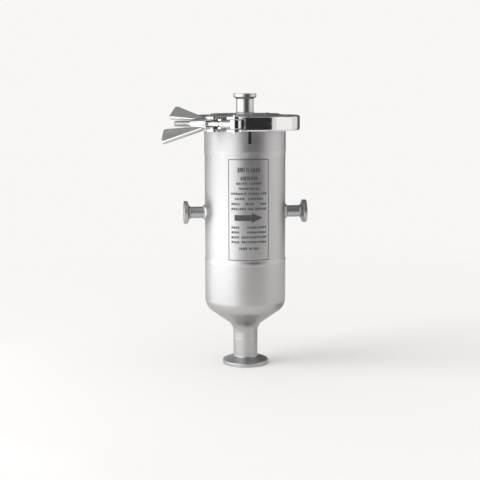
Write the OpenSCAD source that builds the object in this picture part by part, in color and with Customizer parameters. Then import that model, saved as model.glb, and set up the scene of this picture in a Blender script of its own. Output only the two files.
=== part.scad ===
// Sanitary steam separator.
// A welded upright vessel with ferruled inlet, outlet, vent and drain. Its cap carries a baffle plate
// and is held by a two-part hinged clamp, which a swing bolt and a wing nut close.
// The origin is the centre of the drain ferrule's face. +Z is up, +X runs from inlet to outlet,
// and the index mark on the body faces -Y.

/* [Vessel] */
// Outside diameter of the body ferrule and the reducer
body_d = 88.9; // [80:0.1:100]
// Wall of the body ferrule and the reducer's wide end
body_wall = 2.3; // [1.8:0.1:3.5]
// Depth that the shell tube is ground below the body's outside
shell_ground = 0.35; // [0.1:0.05:0.6]
// Length of the shell tube between its two girth welds
shell_h = 121; // [100:1:160]
// Length of the body ferrule, weld to sealing face
body_ferrule_h = 28.6; // [26:0.1:40]
// Width of a girth weld bead
girth_bead_w = 4; // [3:0.1:6]
// Height of a girth weld bead above the body
girth_bead_h = 0.35; // [0.1:0.05:0.8]
// Width of the index mark
index_mark_w = 3.2; // [2:0.1:5]
// Length of the index mark
index_mark_h = 13; // [8:0.5:14]
// Depth of the index mark
index_mark_depth = 0.25; // [0.1:0.05:0.5]

/* [Reducer] */
// Height of the reducer, weld to weld
reducer_h = 88; // [75:1:110]
// Straight length at the reducer's narrow end
reducer_neck = 6.9; // [3:0.1:12]
// Height from the end of the neck to the start of the knuckle
shoulder_h = 38.6; // [34:0.1:44]
// Outside radius of the knuckle below the straight skirt
knuckle_r = 16.6; // [12:0.1:18]
// Outside radius of the hollow that leads into the neck
neck_fillet_r = 15; // [10:0.1:16]

/* [Drain] */
// Outside diameter of the drain tube
drain_d = 26.9; // [24:0.1:30]
// Wall of the drain tube
drain_wall = 1.6; // [1.2:0.1:2.2]
// Diameter of the drain flange
drain_flange_d = 50.5; // [46:0.1:56]
// Length of the drain ferrule
drain_h = 28.6; // [22:0.1:40]
// Straight height of the drain flange's rim
drain_rim_t = 4; // [2.8:0.1:6]

/* [Inlet and outlet] */
// Outside diameter of the inlet and outlet tubes
nozzle_d = 12.7; // [10:0.1:15]
// Wall of the inlet and outlet tubes
nozzle_wall = 1.65; // [1.2:0.05:2.2]
// Diameter of the inlet and outlet flanges
nozzle_flange_d = 25; // [23:0.1:30]
// Distance between the inlet and outlet faces
face_to_face = 135; // [132:0.5:170]
// Height of the inlet and outlet above the lower girth weld
nozzle_rise = 53; // [40:1:70]
// Leg of the fillet weld round each nozzle
nozzle_weld = 2.6; // [1.5:0.1:4]

/* [Vent] */
// Outside diameter of the vent tube
vent_d = 19.05; // [15:0.05:20]
// Wall of the vent tube
vent_wall = 1.65; // [1.2:0.05:2.2]
// Diameter of the vent flange
vent_flange_d = 25; // [24:0.1:34]
// Length of the vent ferrule
vent_h = 21.5; // [16:0.1:35]
// Leg of the fillet weld at the vent's foot
vent_weld = 1.4; // [0.8:0.1:3]

/* [Sealing joint] */
// Width of the cap and body flanges beyond the body's outside
flange_w = 8.55; // [8:0.05:10]
// Straight height of a large flange's rim
rim_t = 2.85; // [2.4:0.05:3.6]
// Straight height of a small ferrule's rim
small_rim_t = 4.1; // [3:0.05:5]
// Slope of the flange backs
taper = 20; // [16:1:24]
// Hollow between a large flange's back and its tube
ferrule_fillet_r = 1.6; // [0.8:0.1:2]
// Hollow between a small flange's back and its tube
small_fillet_r = 3; // [1.5:0.1:4]
// Chamfer on each flange rim
rim_chamfer = 0.4; // [0.2:0.05:0.8]
// Thickness of the gasket between the faces
gasket_t = 1.6; // [1:0.1:3]
// Radius of the gasket's bead
gasket_bead_r = 1.5; // [1:0.1:1.8]
// Radius of the sealing groove in a small ferrule's face
small_groove_r = 0.9; // [0.5:0.1:1.2]
// Thickness of the cap at its middle
cap_h = 9; // [7:0.1:13]

/* [Baffle] */
// Thickness of the baffle plate
baffle_t = 2; // [1.5:0.1:3]
// Depth of the baffle below the inlet and outlet axis
baffle_drop = 40; // [25:1:50]
// Gap between the baffle's edges and the vessel's bore
baffle_gap = 1.5; // [1:0.1:4]
// Radius of the baffle's bottom corners
baffle_corner_r = 10; // [4:0.5:20]
// Gap between the vent's bore and the baffle's notch
vent_notch_gap = 4; // [2:0.5:8]

/* [Clamp] */
// Gap between the vessel's tube and the clamp's arms
arm_gap = 2.15; // [1.6:0.05:3]
// Thickness of a clamp arm at its tip
arm_tip_t = 1.75; // [1.4:0.05:3]
// Gap between the flange rims and the floor of the clamp's groove
groove_floor_gap = 1.3; // [0.8:0.1:2.5]
// Thickness of the clamp's outer wall
clamp_wall = 5.3; // [4.5:0.1:7]
// Radius of the clamp's outer edges
clamp_edge_r = 2.2; // [1:0.1:3]
// Turn of the clamp's opening to the left of the index mark
clamp_turn = 30; // [0:1:60]
// Distance of the fork's inner end from the clamp's middle plane
fork_inset = 0.8; // [0.5:0.1:6]
// Distance of the clevis's inner end from the clamp's middle plane
clevis_inset = 10.6; // [6:0.1:12]
// Length of the fork on the nut's side
fork_l = 11.4; // [8:0.1:14]
// Radius of the fork's front corner at the opening
fork_corner_r = 4.5; // [1:0.1:6]
// Depth of the clevis's slot in the clamp's outer wall
slot_depth = 3.2; // [1:0.1:4]
// Reach of the clevis's slot beyond the eye's pin
slot_reach = 4.3; // [3:0.1:6]
// Distance of the swing bolt's axis beyond the clamp's outside
bolt_offset = 6.4; // [6:0.1:9]
// Distance of the eye's pin from the middle of the opening
eye_x = 17.8; // [16:0.1:22]
// Gap between the two clamp halves at the hinge
hinge_gap = 2; // [1.5:0.1:4]
// Distance of the hinge pin's axis beyond the clamp's outside
hinge_offset = 4.9; // [4:0.1:7]
// Diameter of the hinge knuckles
knuckle_d = 11; // [9:0.1:12]
// Height of the middle hinge knuckle
knuckle_h = 6; // [4.5:0.1:7.5]
// Reach of a hinge knuckle's web along the clamp
hinge_web = 16; // [12:0.5:22]
// Diameter of the hinge pin and the eye's pin
pin_d = 5; // [4:0.1:6]
// Height that each pin stands proud of the clamp
pin_proud = 1.5; // [0.6:0.1:2.5]

/* [Swing bolt and wing nut] */
// Diameter of the swing bolt's thread
bolt_d = 6.35; // [5:0.05:7]
// Diameter of the swing bolt's shank next to its eye
shank_d = 7.8; // [7.2:0.1:8.4]
// Length of the thick shank from the eye's pin
shank_l = 16.5; // [10:0.5:20]
// Diameter of the swing bolt's eye
eye_d = 12.3; // [10:0.1:13.5]
// Width that the clamp's ears stand beyond the eye
ear_wall = 0.85; // [0.8:0.05:2]
// Height of the swing bolt's eye
eye_h = 9.4; // [8.6:0.1:10]
// Length of bolt beyond the wing nut's hub
bolt_free = 19.6; // [12:0.1:22]
// Diameter of the washer
washer_d = 14; // [12.5:0.1:14.6]
// Thickness of the washer
washer_t = 2; // [1.5:0.1:3]
// Diameter of the wing nut's hub at the washer
hub_d = 13.2; // [12:0.1:14]
// Diameter of the wing nut's hub at its outer end
hub_end_d = 10; // [9:0.1:11]
// Length of the wing nut's hub
hub_l = 17.5; // [13:0.5:19]
// Distance across the wing tips
wing_span = 51; // [44:1:54]
// Length of the wing nut over its wings
wing_l = 47; // [38:0.5:50]
// Thickness of a wing
wing_t = 5; // [4:0.1:6]
// Radius of the wings' corners
wing_corner_r = 2.2; // [1.5:0.1:2.8]
// Distance of the wings' inner edges beyond the hub's outer end
wing_inner_gap = 2.8; // [1:0.1:3]
// Distance from the hub's face to the wings' root
wing_setback = 2; // [1:0.1:4]
// Depth of the wings' root corners below the hub's outside
wing_root_sink = 0.8; // [0:0.1:2]
// Turn of the wings about the bolt, from upright
wing_tilt = 43; // [0:1:90]
// Lean of each wing out of the plane through both
wing_fold = 6; // [0:1:12]

/* [Clearances] */
// Gap between the clamp's groove and the flange backs
groove_gap = 0.3; // [0.2:0.05:0.5]
// Gap round a pin or bolt that turns in its bore
running_gap = 0.05; // [0.03:0.01:0.09]
// Gap round a piece that is pressed or welded in its hole
seat_gap = 0.02; // [0.01:0.01:0.04]
// Gap above and below the eye in its slot, and between hinge knuckles
slot_gap = 0.3; // [0.2:0.05:0.5]
// Gap between the washer and the fork
fork_gap = 0.15; // [0.1:0.01:0.3]
// Gap between the washer and the wing nut
nut_gap = 0.05; // [0.03:0.01:0.1]
// Gap round a knuckle that turns beside the other clamp half
knuckle_gap = 0.4; // [0.3:0.05:0.6]

/* [Hidden] */
$fn = 96;
cut = 1;
far = 4 * body_d;

// Heights of the welds and faces, from the drain's face up
lower_seam_z = drain_h + reducer_h;
upper_seam_z = lower_seam_z + shell_h;
body_face_z = upper_seam_z + body_ferrule_h;
cap_face_z = body_face_z + gasket_t;
joint_z = body_face_z + gasket_t / 2;
cap_top_z = cap_face_z + cap_h;
vent_top_z = cap_top_z + vent_h;
nozzle_z = lower_seam_z + nozzle_rise;

// Radii of the vessel
body_r = body_d / 2;
bore_r = body_r - body_wall;
shell_r = body_r - shell_ground;
drain_r = drain_d / 2;
drain_bore_r = drain_r - drain_wall;
nozzle_r = nozzle_d / 2;
nozzle_bore_r = nozzle_r - nozzle_wall;
vent_r = vent_d / 2;
vent_bore_r = vent_r - vent_wall;
flange_r = body_r + flange_w;
cap_top_r = flange_r - (cap_h - rim_t) / tan(taper);
vent_fillet_r = min(small_fillet_r, (vent_flange_d - vent_d) / 3);
girth_bead_r = (pow(girth_bead_w / 2, 2) + pow(girth_bead_h, 2)) / (2 * girth_bead_h);
index_mark_top = body_face_z - rim_t - flange_w * tan(taper) - ferrule_fillet_r;

// The gasket's bead sits midway between the bore and the rim
bead_ring_r = (bore_r + flange_r) / 2;
bead_groove_r = gasket_bead_r + running_gap;
gasket_r = bead_ring_r + 2 * gasket_bead_r;

// Section of the clamp, measured from the joint's middle plane
function groove_h(r) = gasket_t / 2 + rim_t + (flange_r - r) * tan(taper) + groove_gap / cos(taper);
arm_r = body_r + arm_gap;
groove_r = flange_r + groove_floor_gap;
clamp_r = groove_r + clamp_wall;
clamp_half_h = groove_h(arm_r) + arm_tip_t;
lug_root_r = groove_r + clamp_wall / 3;

// Swing bolt, in the clamp's own frame with the opening at -Y
bolt_r = clamp_r + bolt_offset;
ear_r = eye_d / 2 + ear_wall;
slot_half_h = eye_h / 2 + slot_gap;
fork_end = fork_inset + fork_l;
seat_r = fork_end + eye_x;
washer_face = fork_end + fork_gap;
nut_face = washer_face + washer_t + nut_gap;
bolt_end = nut_face + hub_l + bolt_free;
bolt_chamfer = bolt_d / 8;
washer_gap = 0.2;
hinge_r = clamp_r + hinge_offset;
knuckle_r_out = knuckle_d / 2;
pin_half_h = clamp_half_h + pin_proud;
pin_chamfer = pin_d / 8;

// A ring's profile turned about Z
module turned() {
    rotate_extrude() children();
}

// A straight pin along Z, centred, with chamfered ends
module chamfered_pin(d, half_h, chamfer) {
    turned() polygon([
        [0, -half_h], [d / 2 - chamfer, -half_h], [d / 2, -half_h + chamfer],
        [d / 2, half_h - chamfer], [d / 2 - chamfer, half_h], [0, half_h]
    ]);
}

// Half section of a clamp ferrule: its face at z = 0, its tube running up to z = len
module ferrule_section(bore, tube, flange, rim, hollow_r, len, groove_ring, groove) {
    back = rim + (flange - tube) * tan(taper);
    hollow = [tube + hollow_r, rim + (hollow_r - (tube + hollow_r - flange) * sin(taper)) / cos(taper)];
    tangent = hollow - hollow_r * [sin(taper), cos(taper)];
    difference() {
        union() {
            translate([bore, 0]) square([tube - bore, len]);
            polygon([
                [bore, 0], [flange - rim_chamfer, 0], [flange, rim_chamfer], [flange, rim - rim_chamfer],
                [flange - rim_chamfer, rim + rim_chamfer * tan(taper)], [tube, back], [bore, back]
            ]);
            difference() {
                polygon([[tube, back], tangent, hollow, [tube, hollow[1]]]);
                translate(hollow) circle(hollow_r);
            }
        }
        translate([groove_ring, 0]) circle(groove);
    }
}

// Half section of a girth weld bead about z = 0, outside the shell
module girth_bead_section() {
    intersection() {
        translate([body_r + girth_bead_h - girth_bead_r, 0]) circle(girth_bead_r);
        translate([shell_r, -girth_bead_w]) square([girth_bead_w, 2 * girth_bead_w]);
    }
}

// Region inside the reducer's wall: straight skirt, knuckle, cone and hollow neck, from the drain weld up.
// The cone is the inner common tangent of the knuckle's circle and the neck's circle.
module reducer_region(wide, knuckle, narrow, hollow) {
    neck_z = drain_h + reducer_neck;
    a = [wide - knuckle, neck_z + shoulder_h];
    b = [narrow + hollow, neck_z];
    span = b - a;
    turn = atan2(span[1], span[0]) + acos((knuckle + hollow) / norm(span));
    normal = [cos(turn), sin(turn)];
    difference() {
        union() {
            translate([0, a[1]]) square([wide, lower_seam_z - a[1]]);
            intersection() {
                translate(a) circle(knuckle);
                translate([0, drain_h]) square([wide, reducer_h]);
            }
            polygon([
                [0, a[1]], a, a + knuckle * normal, b - hollow * normal, b, [narrow, neck_z],
                [narrow, drain_h], [0, drain_h]
            ]);
        }
        translate(b) circle(hollow);
    }
}

// A nozzle along +Z from its face, cut to the vessel, with its fillet weld at the shell
module nozzle(side) {
    reach = face_to_face / 2;
    weld_foot = reach - shell_r + nozzle_weld;
    saddle = shell_r - sqrt(pow(shell_r, 2) - pow(nozzle_r + nozzle_weld, 2));
    difference() {
        translate([side * reach, 0, nozzle_z]) rotate([0, -side * 90, 0]) {
            turned() ferrule_section(
                nozzle_bore_r, nozzle_r, nozzle_flange_d / 2, small_rim_t, small_fillet_r, reach - bore_r / 2,
                (nozzle_bore_r + nozzle_flange_d / 2) / 2, small_groove_r
            );
            difference() {
                translate([0, 0, weld_foot - nozzle_weld]) union() {
                    cylinder(h = nozzle_weld, r1 = nozzle_r, r2 = nozzle_r + nozzle_weld);
                    translate([0, 0, nozzle_weld]) cylinder(h = saddle, r = nozzle_r + nozzle_weld);
                }
                cylinder(h = reach, r = nozzle_bore_r);
                rotate([0, 90, 0]) translate([-reach, 0, -far / 2]) cylinder(h = far, r = shell_r);
            }
        }
        cylinder(h = vent_top_z, r = bore_r);
    }
}

// Half section of the clamp band about its middle plane, with its V groove and rounded outer edges
module band_section() {
    difference() {
        union() {
            translate([arm_r, -clamp_half_h]) square([clamp_r - clamp_edge_r - arm_r, 2 * clamp_half_h]);
            translate([arm_r, clamp_edge_r - clamp_half_h])
                square([clamp_r - arm_r, 2 * (clamp_half_h - clamp_edge_r)]);
            for (side = [-1, 1])
                translate([clamp_r - clamp_edge_r, side * (clamp_half_h - clamp_edge_r)]) circle(clamp_edge_r);
        }
        polygon([
            [arm_r - cut, groove_h(arm_r - cut)], [groove_r, groove_h(groove_r)],
            [groove_r, -groove_h(groove_r)], [arm_r - cut, -groove_h(arm_r - cut)]
        ]);
    }
}

// One half of the band on the +X side, from its end at the opening to the hinge at +Y
module half_band(inset) {
    intersection() {
        turned() band_section();
        union() {
            translate([inset, -far, -far]) cube([far, far, 2 * far]);
            translate([hinge_gap / 2, 0, -far]) cube([far, far, 2 * far]);
        }
    }
}

// Plan of a hinge knuckle and its web on the +X side
module knuckle_plan() {
    difference() {
        union() {
            translate([0, hinge_r]) circle(knuckle_r_out);
            polygon([
                [0, hinge_r + knuckle_r_out], [hinge_web, sqrt(pow(clamp_r, 2) - pow(hinge_web, 2))],
                [hinge_web, lug_root_r / 2], [0, lug_root_r / 2]
            ]);
        }
        circle(lug_root_r);
    }
}

// A plan raised between two heights, above and below the middle plane
module paired_plates(low, high) {
    for (side = [0, 1])
        mirror([0, 0, side]) translate([0, 0, low]) linear_extrude(high - low) children();
}

// The swing bolt's pin bore and the hinge pin's bore, with a gap
module pin_bore(x, y, gap) {
    translate([x, y, -far]) cylinder(h = 2 * far, d = pin_d + 2 * gap);
}

// Places the clamp's own frame at the sealing joint, turned to its place
module at_clamp() {
    translate([0, 0, joint_z]) rotate([0, 0, -clamp_turn]) children();
}

// A plate outline with round corners about a list of corner centres, counter-clockwise
module round_outline(centres, r) {
    count = len(centres);
    polygon(centres);
    for (i = [0 : count - 1]) {
        a = centres[i];
        b = centres[(i + 1) % count];
        along = (b - a) / norm(b - a);
        outward = r * [along[1], -along[0]];
        translate(a) circle(r);
        polygon([a, a + outward, b + outward, b]);
    }
}

// Body ferrule: the vessel's open top, with the clamp flange and the index mark
module body_ferrule() {
    color("silver") difference() {
        union() {
            translate([0, 0, body_face_z]) mirror([0, 0, 1]) turned() ferrule_section(
                bore_r, body_r, flange_r, rim_t, ferrule_fillet_r, body_ferrule_h, bead_ring_r, bead_groove_r
            );
            translate([0, 0, upper_seam_z]) turned() girth_bead_section();
        }
        translate([-index_mark_w / 2, -body_r - cut, index_mark_top - index_mark_h])
            cube([index_mark_w, cut + index_mark_depth, index_mark_h]);
    }
}

// Shell tube with the two nozzle holes
module shell_tube() {
    color("lightgray") difference() {
        translate([0, 0, lower_seam_z]) turned()
            translate([bore_r, 0]) square([shell_r - bore_r, shell_h]);
        translate([-body_d, 0, nozzle_z]) rotate([0, 90, 0])
            cylinder(h = 2 * body_d, r = nozzle_r + seat_gap);
    }
}

// Concentric reducer from the shell down to the drain, with the lower girth weld
module bottom_reducer() {
    color("silver") {
        turned() difference() {
            reducer_region(body_r, knuckle_r, drain_r, neck_fillet_r);
            reducer_region(bore_r, knuckle_r - body_wall, drain_bore_r, neck_fillet_r + drain_wall);
        }
        translate([0, 0, lower_seam_z]) turned() girth_bead_section();
    }
}

// Drain ferrule, which the vessel stands on
module drain_ferrule() {
    color("silver") turned() ferrule_section(
        drain_bore_r, drain_r, drain_flange_d / 2, drain_rim_t, ferrule_fillet_r, drain_h,
        (drain_bore_r + drain_flange_d / 2) / 2 + gasket_bead_r, gasket_bead_r
    );
}

// Inlet on the left and outlet on the right
module inlet_ferrule() {
    color("gainsboro") nozzle(-1);
}

module outlet_ferrule() {
    color("gainsboro") nozzle(1);
}

// Cap: a thick disc with a tapered back, a sealing groove and the vent's hole
module top_cap() {
    color("darkgray") translate([0, 0, cap_face_z]) turned() difference() {
        polygon([
            [vent_bore_r, 0], [flange_r - rim_chamfer, 0], [flange_r, rim_chamfer],
            [flange_r, rim_t - rim_chamfer], [flange_r - rim_chamfer, rim_t + rim_chamfer * tan(taper)],
            [cap_top_r, cap_h], [vent_bore_r, cap_h]
        ]);
        translate([bead_ring_r, 0]) circle(bead_groove_r);
    }
}

// Vent ferrule on the cap, with the fillet weld at its foot
module vent_ferrule() {
    color("silver") {
        translate([0, 0, vent_top_z]) mirror([0, 0, 1]) turned() ferrule_section(
            vent_bore_r, vent_r, vent_flange_d / 2, small_rim_t, vent_fillet_r, vent_h,
            (vent_bore_r + vent_flange_d / 2) / 2, small_groove_r
        );
        translate([0, 0, cap_top_z]) turned()
            polygon([[vent_bore_r, 0], [vent_r + vent_weld, 0], [vent_r, vent_weld], [vent_bore_r, vent_weld]]);
    }
}

// Baffle plate under the cap, across the flow, notched round the vent's bore
module baffle_plate() {
    half_w = bore_r - baffle_gap;
    bottom_z = nozzle_z - baffle_drop;
    color("lightsteelblue") rotate([90, 0, 90]) linear_extrude(baffle_t, center = true) difference() {
        union() {
            translate([-half_w, bottom_z + baffle_corner_r])
                square([2 * half_w, cap_face_z - bottom_z - baffle_corner_r]);
            translate([baffle_corner_r - half_w, bottom_z])
                square([2 * (half_w - baffle_corner_r), 2 * baffle_corner_r]);
            for (side = [-1, 1])
                translate([side * (half_w - baffle_corner_r), bottom_z + baffle_corner_r])
                    circle(baffle_corner_r);
        }
        translate([0, cap_face_z]) circle(vent_bore_r + vent_notch_gap);
    }
}

// Gasket between the faces, with a round bead in both sealing grooves
module cap_gasket() {
    color("white") translate([0, 0, joint_z]) turned() {
        translate([bore_r, -gasket_t / 2]) square([gasket_r - bore_r, gasket_t]);
        for (side = [-1, 1])
            translate([bead_ring_r, side * gasket_t / 2]) circle(gasket_bead_r);
    }
}

// Plan of the fork, with a round front corner at the opening
module fork_plan() {
    front = -bolt_r - ear_r;
    translate([-fork_end, front]) square([fork_l - fork_corner_r, -front]);
    translate([-fork_end, front + fork_corner_r]) square([fork_l, -front - fork_corner_r]);
    translate([-fork_inset - fork_corner_r, front + fork_corner_r]) circle(fork_corner_r);
}

// Clamp half on the nut's side: a fork that the bolt lies in, and the middle hinge knuckle.
// The fork's end is round about the eye's pin, so that the nut swings off it.
module clamp_half_left() {
    color("gray") at_clamp() difference() {
        union() {
            difference() {
                mirror([1, 0, 0]) half_band(fork_inset);
                paired_plates(knuckle_h / 2, clamp_half_h + cut)
                    translate([0, hinge_r]) circle(knuckle_r_out + knuckle_gap);
            }
            paired_plates(slot_half_h, clamp_half_h) intersection() {
                difference() {
                    fork_plan();
                    circle(lug_root_r);
                }
                translate([eye_x, -bolt_r]) circle(seat_r);
            }
            translate([0, 0, -knuckle_h / 2]) linear_extrude(knuckle_h) mirror([1, 0]) knuckle_plan();
        }
        pin_bore(0, hinge_r, running_gap);
    }
}

// Clamp half on the eye's side: a slotted clevis for the swing bolt, and the outer hinge knuckles
module clamp_half_right() {
    color("dimgray") at_clamp() difference() {
        union() {
            difference() {
                half_band(clevis_inset);
                translate([0, hinge_r, -knuckle_h / 2 - slot_gap])
                    cylinder(h = knuckle_h + 2 * slot_gap, r = knuckle_r_out + knuckle_gap);
                translate([0, 0, -slot_half_h]) linear_extrude(2 * slot_half_h) difference() {
                    translate([0, -far]) square([eye_x + slot_reach, far]);
                    circle(clamp_r - slot_depth);
                }
            }
            paired_plates(slot_half_h, clamp_half_h) difference() {
                union() {
                    translate([eye_x, -bolt_r]) circle(ear_r);
                    translate([clevis_inset, -bolt_r - ear_r]) square([eye_x - clevis_inset, bolt_r + ear_r]);
                    translate([eye_x, -bolt_r]) square([ear_r, bolt_r]);
                }
                circle(lug_root_r);
            }
            paired_plates(knuckle_h / 2 + slot_gap, clamp_half_h) knuckle_plan();
        }
        pin_bore(0, hinge_r, seat_gap);
        pin_bore(eye_x, -bolt_r, seat_gap);
    }
}

// Pin of the clamp's hinge
module clamp_hinge_pin() {
    color("gainsboro") at_clamp() translate([0, hinge_r, 0]) chamfered_pin(pin_d, pin_half_h, pin_chamfer);
}

// Pin of the swing bolt's eye
module eye_bolt_pin() {
    color("gainsboro") at_clamp() translate([eye_x, -bolt_r, 0]) chamfered_pin(pin_d, pin_half_h, pin_chamfer);
}

// Swing bolt: an eye, a thick shank and a thread that runs to the free end
module eye_bolt() {
    taper_l = shank_d - bolt_d;
    reach = eye_x + bolt_end;
    color("whitesmoke") at_clamp() translate([eye_x, -bolt_r, 0]) difference() {
        union() {
            translate([0, 0, -eye_h / 2]) cylinder(h = eye_h, d = eye_d);
            rotate([0, -90, 0]) turned() polygon([
                [0, 0], [shank_d / 2, 0], [shank_d / 2, shank_l], [bolt_d / 2, shank_l + taper_l],
                [bolt_d / 2, reach - bolt_chamfer], [bolt_d / 2 - bolt_chamfer, reach], [0, reach]
            ]);
        }
        pin_bore(0, 0, running_gap);
    }
}

// Washer between the fork and the wing nut
module nut_washer() {
    color("silver") at_clamp() translate([-washer_face, -bolt_r, 0]) rotate([0, -90, 0]) difference() {
        cylinder(h = washer_t, d = washer_d);
        translate([0, 0, -cut]) cylinder(h = washer_t + 2 * cut, d = bolt_d + 2 * washer_gap);
    }
}

// Wing nut: a tapered hub with two swept wings, folded a little to one side
module wing_nut() {
    end_u = wing_l - wing_corner_r;
    centres = [
        [wing_setback + wing_corner_r, hub_d / 2 - wing_root_sink],
        [end_u, hub_end_d / 2 + wing_inner_gap + wing_corner_r],
        [end_u - wing_inner_gap / 2, wing_span / 2 - wing_corner_r]
    ];
    color("gainsboro") at_clamp() translate([-nut_face, -bolt_r, 0]) difference() {
        union() {
            rotate([0, -90, 0]) cylinder(h = hub_l, d1 = hub_d, d2 = hub_end_d);
            for (wing = [-wing_fold, 180 + wing_fold])
                rotate([wing - wing_tilt, 0, 0]) rotate([90, 0, 0])
                    linear_extrude(wing_t, center = true) mirror([1, 0]) round_outline(centres, wing_corner_r);
        }
        rotate([0, -90, 0]) translate([0, 0, -cut]) cylinder(h = wing_l, d = bolt_d + 2 * running_gap);
    }
}

body_ferrule();
shell_tube();
bottom_reducer();
drain_ferrule();
inlet_ferrule();
outlet_ferrule();
top_cap();
vent_ferrule();
baffle_plate();
cap_gasket();
clamp_half_left();
clamp_half_right();
clamp_hinge_pin();
eye_bolt();
eye_bolt_pin();
nut_washer();
wing_nut();
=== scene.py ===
"""Looks of a sanitary steam separator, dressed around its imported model.

Sizes are in millimetres until a mesh is written. The frame is the model's own: the origin is the centre of
the drain's face, +Z is up, +X runs from inlet to outlet, and the index mark faces -Y.
"""

import logging
import math
from dataclasses import dataclass
from enum import Enum
from typing import Any, Sequence

import bpy
import numpy as np
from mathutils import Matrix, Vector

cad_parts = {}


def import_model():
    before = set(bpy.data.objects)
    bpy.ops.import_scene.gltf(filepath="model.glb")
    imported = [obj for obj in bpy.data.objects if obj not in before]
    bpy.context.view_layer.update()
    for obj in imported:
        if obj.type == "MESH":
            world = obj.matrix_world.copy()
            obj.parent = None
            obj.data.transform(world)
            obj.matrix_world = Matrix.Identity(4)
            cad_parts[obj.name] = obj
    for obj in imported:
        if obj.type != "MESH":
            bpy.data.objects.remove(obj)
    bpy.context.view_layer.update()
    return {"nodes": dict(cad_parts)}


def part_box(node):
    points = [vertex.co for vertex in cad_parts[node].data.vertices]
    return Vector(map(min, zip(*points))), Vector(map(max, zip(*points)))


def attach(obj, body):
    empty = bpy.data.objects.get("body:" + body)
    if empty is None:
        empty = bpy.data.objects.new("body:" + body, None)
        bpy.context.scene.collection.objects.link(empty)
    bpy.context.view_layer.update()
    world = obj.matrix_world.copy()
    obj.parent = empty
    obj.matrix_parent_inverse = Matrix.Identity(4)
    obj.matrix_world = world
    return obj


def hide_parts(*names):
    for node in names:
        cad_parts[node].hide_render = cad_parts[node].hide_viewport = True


LOG = logging.getLogger("steam_separator")
Array = np.ndarray
Corner = tuple[float, float, float]
Tree = bpy.types.NodeTree
Socket = bpy.types.NodeSocket

MM = 0.001
MERGE_MM = 1e-5
TINY = 1e-30
SHARP_DEG = 32
TAPER = math.radians(20)
# Points on a fine arc, and angles round an axis for a pin, a small, a middling and a large turned solid.
FINE_ARC = 10
PIN_TURN = 64
SMALL_TURN = 96
MID_TURN = 128
LARGE_TURN = 256
# Most of a noise texture's values lie between these two.
NOISE_LOW = 0.32
NOISE_HIGH = 0.68
# Radians that the wave texture runs through in one unit at scale 1.
WAVE_RATE = 20
UPRIGHT = np.eye(3)
TO_MINUS_X = np.array([[0, 0, -1], [0, 1, 0], [1, 0, 0]], float)
TO_PLUS_X = np.array([[0, 0, 1], [0, 1, 0], [-1, 0, 0]], float)
STANDING = np.array([[-1, 0, 0], [0, 0, 1], [0, 1, 0]], float)
MIRROR_X = np.diag([-1.0, 1.0, 1.0])
MIRROR_Z = np.diag([1.0, 1.0, -1.0])


class Body(Enum):
    """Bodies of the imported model."""

    VESSEL = "vessel"
    CLAMP_LEFT = "clamp_left"
    SWING_BOLT = "swing_bolt"
    COLLAR = "nut_collar"
    NUT = "nut"


class Slot(Enum):
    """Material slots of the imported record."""

    SATIN = "satin_steel"
    TURNED = "turned_steel"
    POLISHED = "polished_steel"


class Side(Enum):
    """Which way a nozzle points along X."""

    INLET = -1
    OUTLET = 1


@dataclass(frozen=True)
class Solid:
    """A closed surface: points in millimetres, and quads that index them."""

    points: Array
    quads: Array

    def moved(self, turn: Array = UPRIGHT, shift: Sequence[float] = (0, 0, 0)) -> "Solid":
        """Turns the solid by a 3 by 3 matrix and then shifts it.

        Args:
            turn: Rotation or mirror.
            shift: Move in millimetres.

        Returns:
            The placed solid, with its faces still outward.
        """
        quads = self.quads if np.linalg.det(turn) > 0 else self.quads[:, ::-1]
        return Solid(self.points @ np.asarray(turn).T + np.asarray(shift, float), quads)


def turn_about(axis: int, degrees: float) -> Array:
    """Rotation matrix about one axis.

    Args:
        axis: 0, 1 or 2 for X, Y or Z.
        degrees: Angle, counter-clockwise.

    Returns:
        The 3 by 3 matrix.
    """
    cosine = math.cos(math.radians(degrees))
    sine = math.sin(math.radians(degrees))
    first, second = (axis + 1) % 3, (axis + 2) % 3
    turn = np.eye(3)
    turn[first, first] = turn[second, second] = cosine
    turn[second, first] = sine
    turn[first, second] = -sine
    return turn


def around(steps: int) -> Array:
    """Even angles of one full turn."""
    return np.linspace(0, 2 * np.pi, steps, endpoint=False)


def unit(vectors: Array) -> Array:
    """Rows scaled to a length of one."""
    return vectors / np.linalg.norm(vectors, axis=1, keepdims=True)


def turning(before: Array, after: Array) -> Array:
    """Angle from each direction to the next, counter-clockwise: arc tangent of cross over dot product."""
    cross = before[:, 0] * after[:, 1] - before[:, 1] * after[:, 0]
    return np.arctan2(cross, (before * after).sum(1))


def outward_of(loop: Array) -> Array:
    """Unit normals of a counter-clockwise outline, square to the chord between each point's neighbours."""
    chord = np.roll(loop, -1, 0) - np.roll(loop, 1, 0)
    return unit(np.stack([chord[:, 1], -chord[:, 0]], 1))


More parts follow.
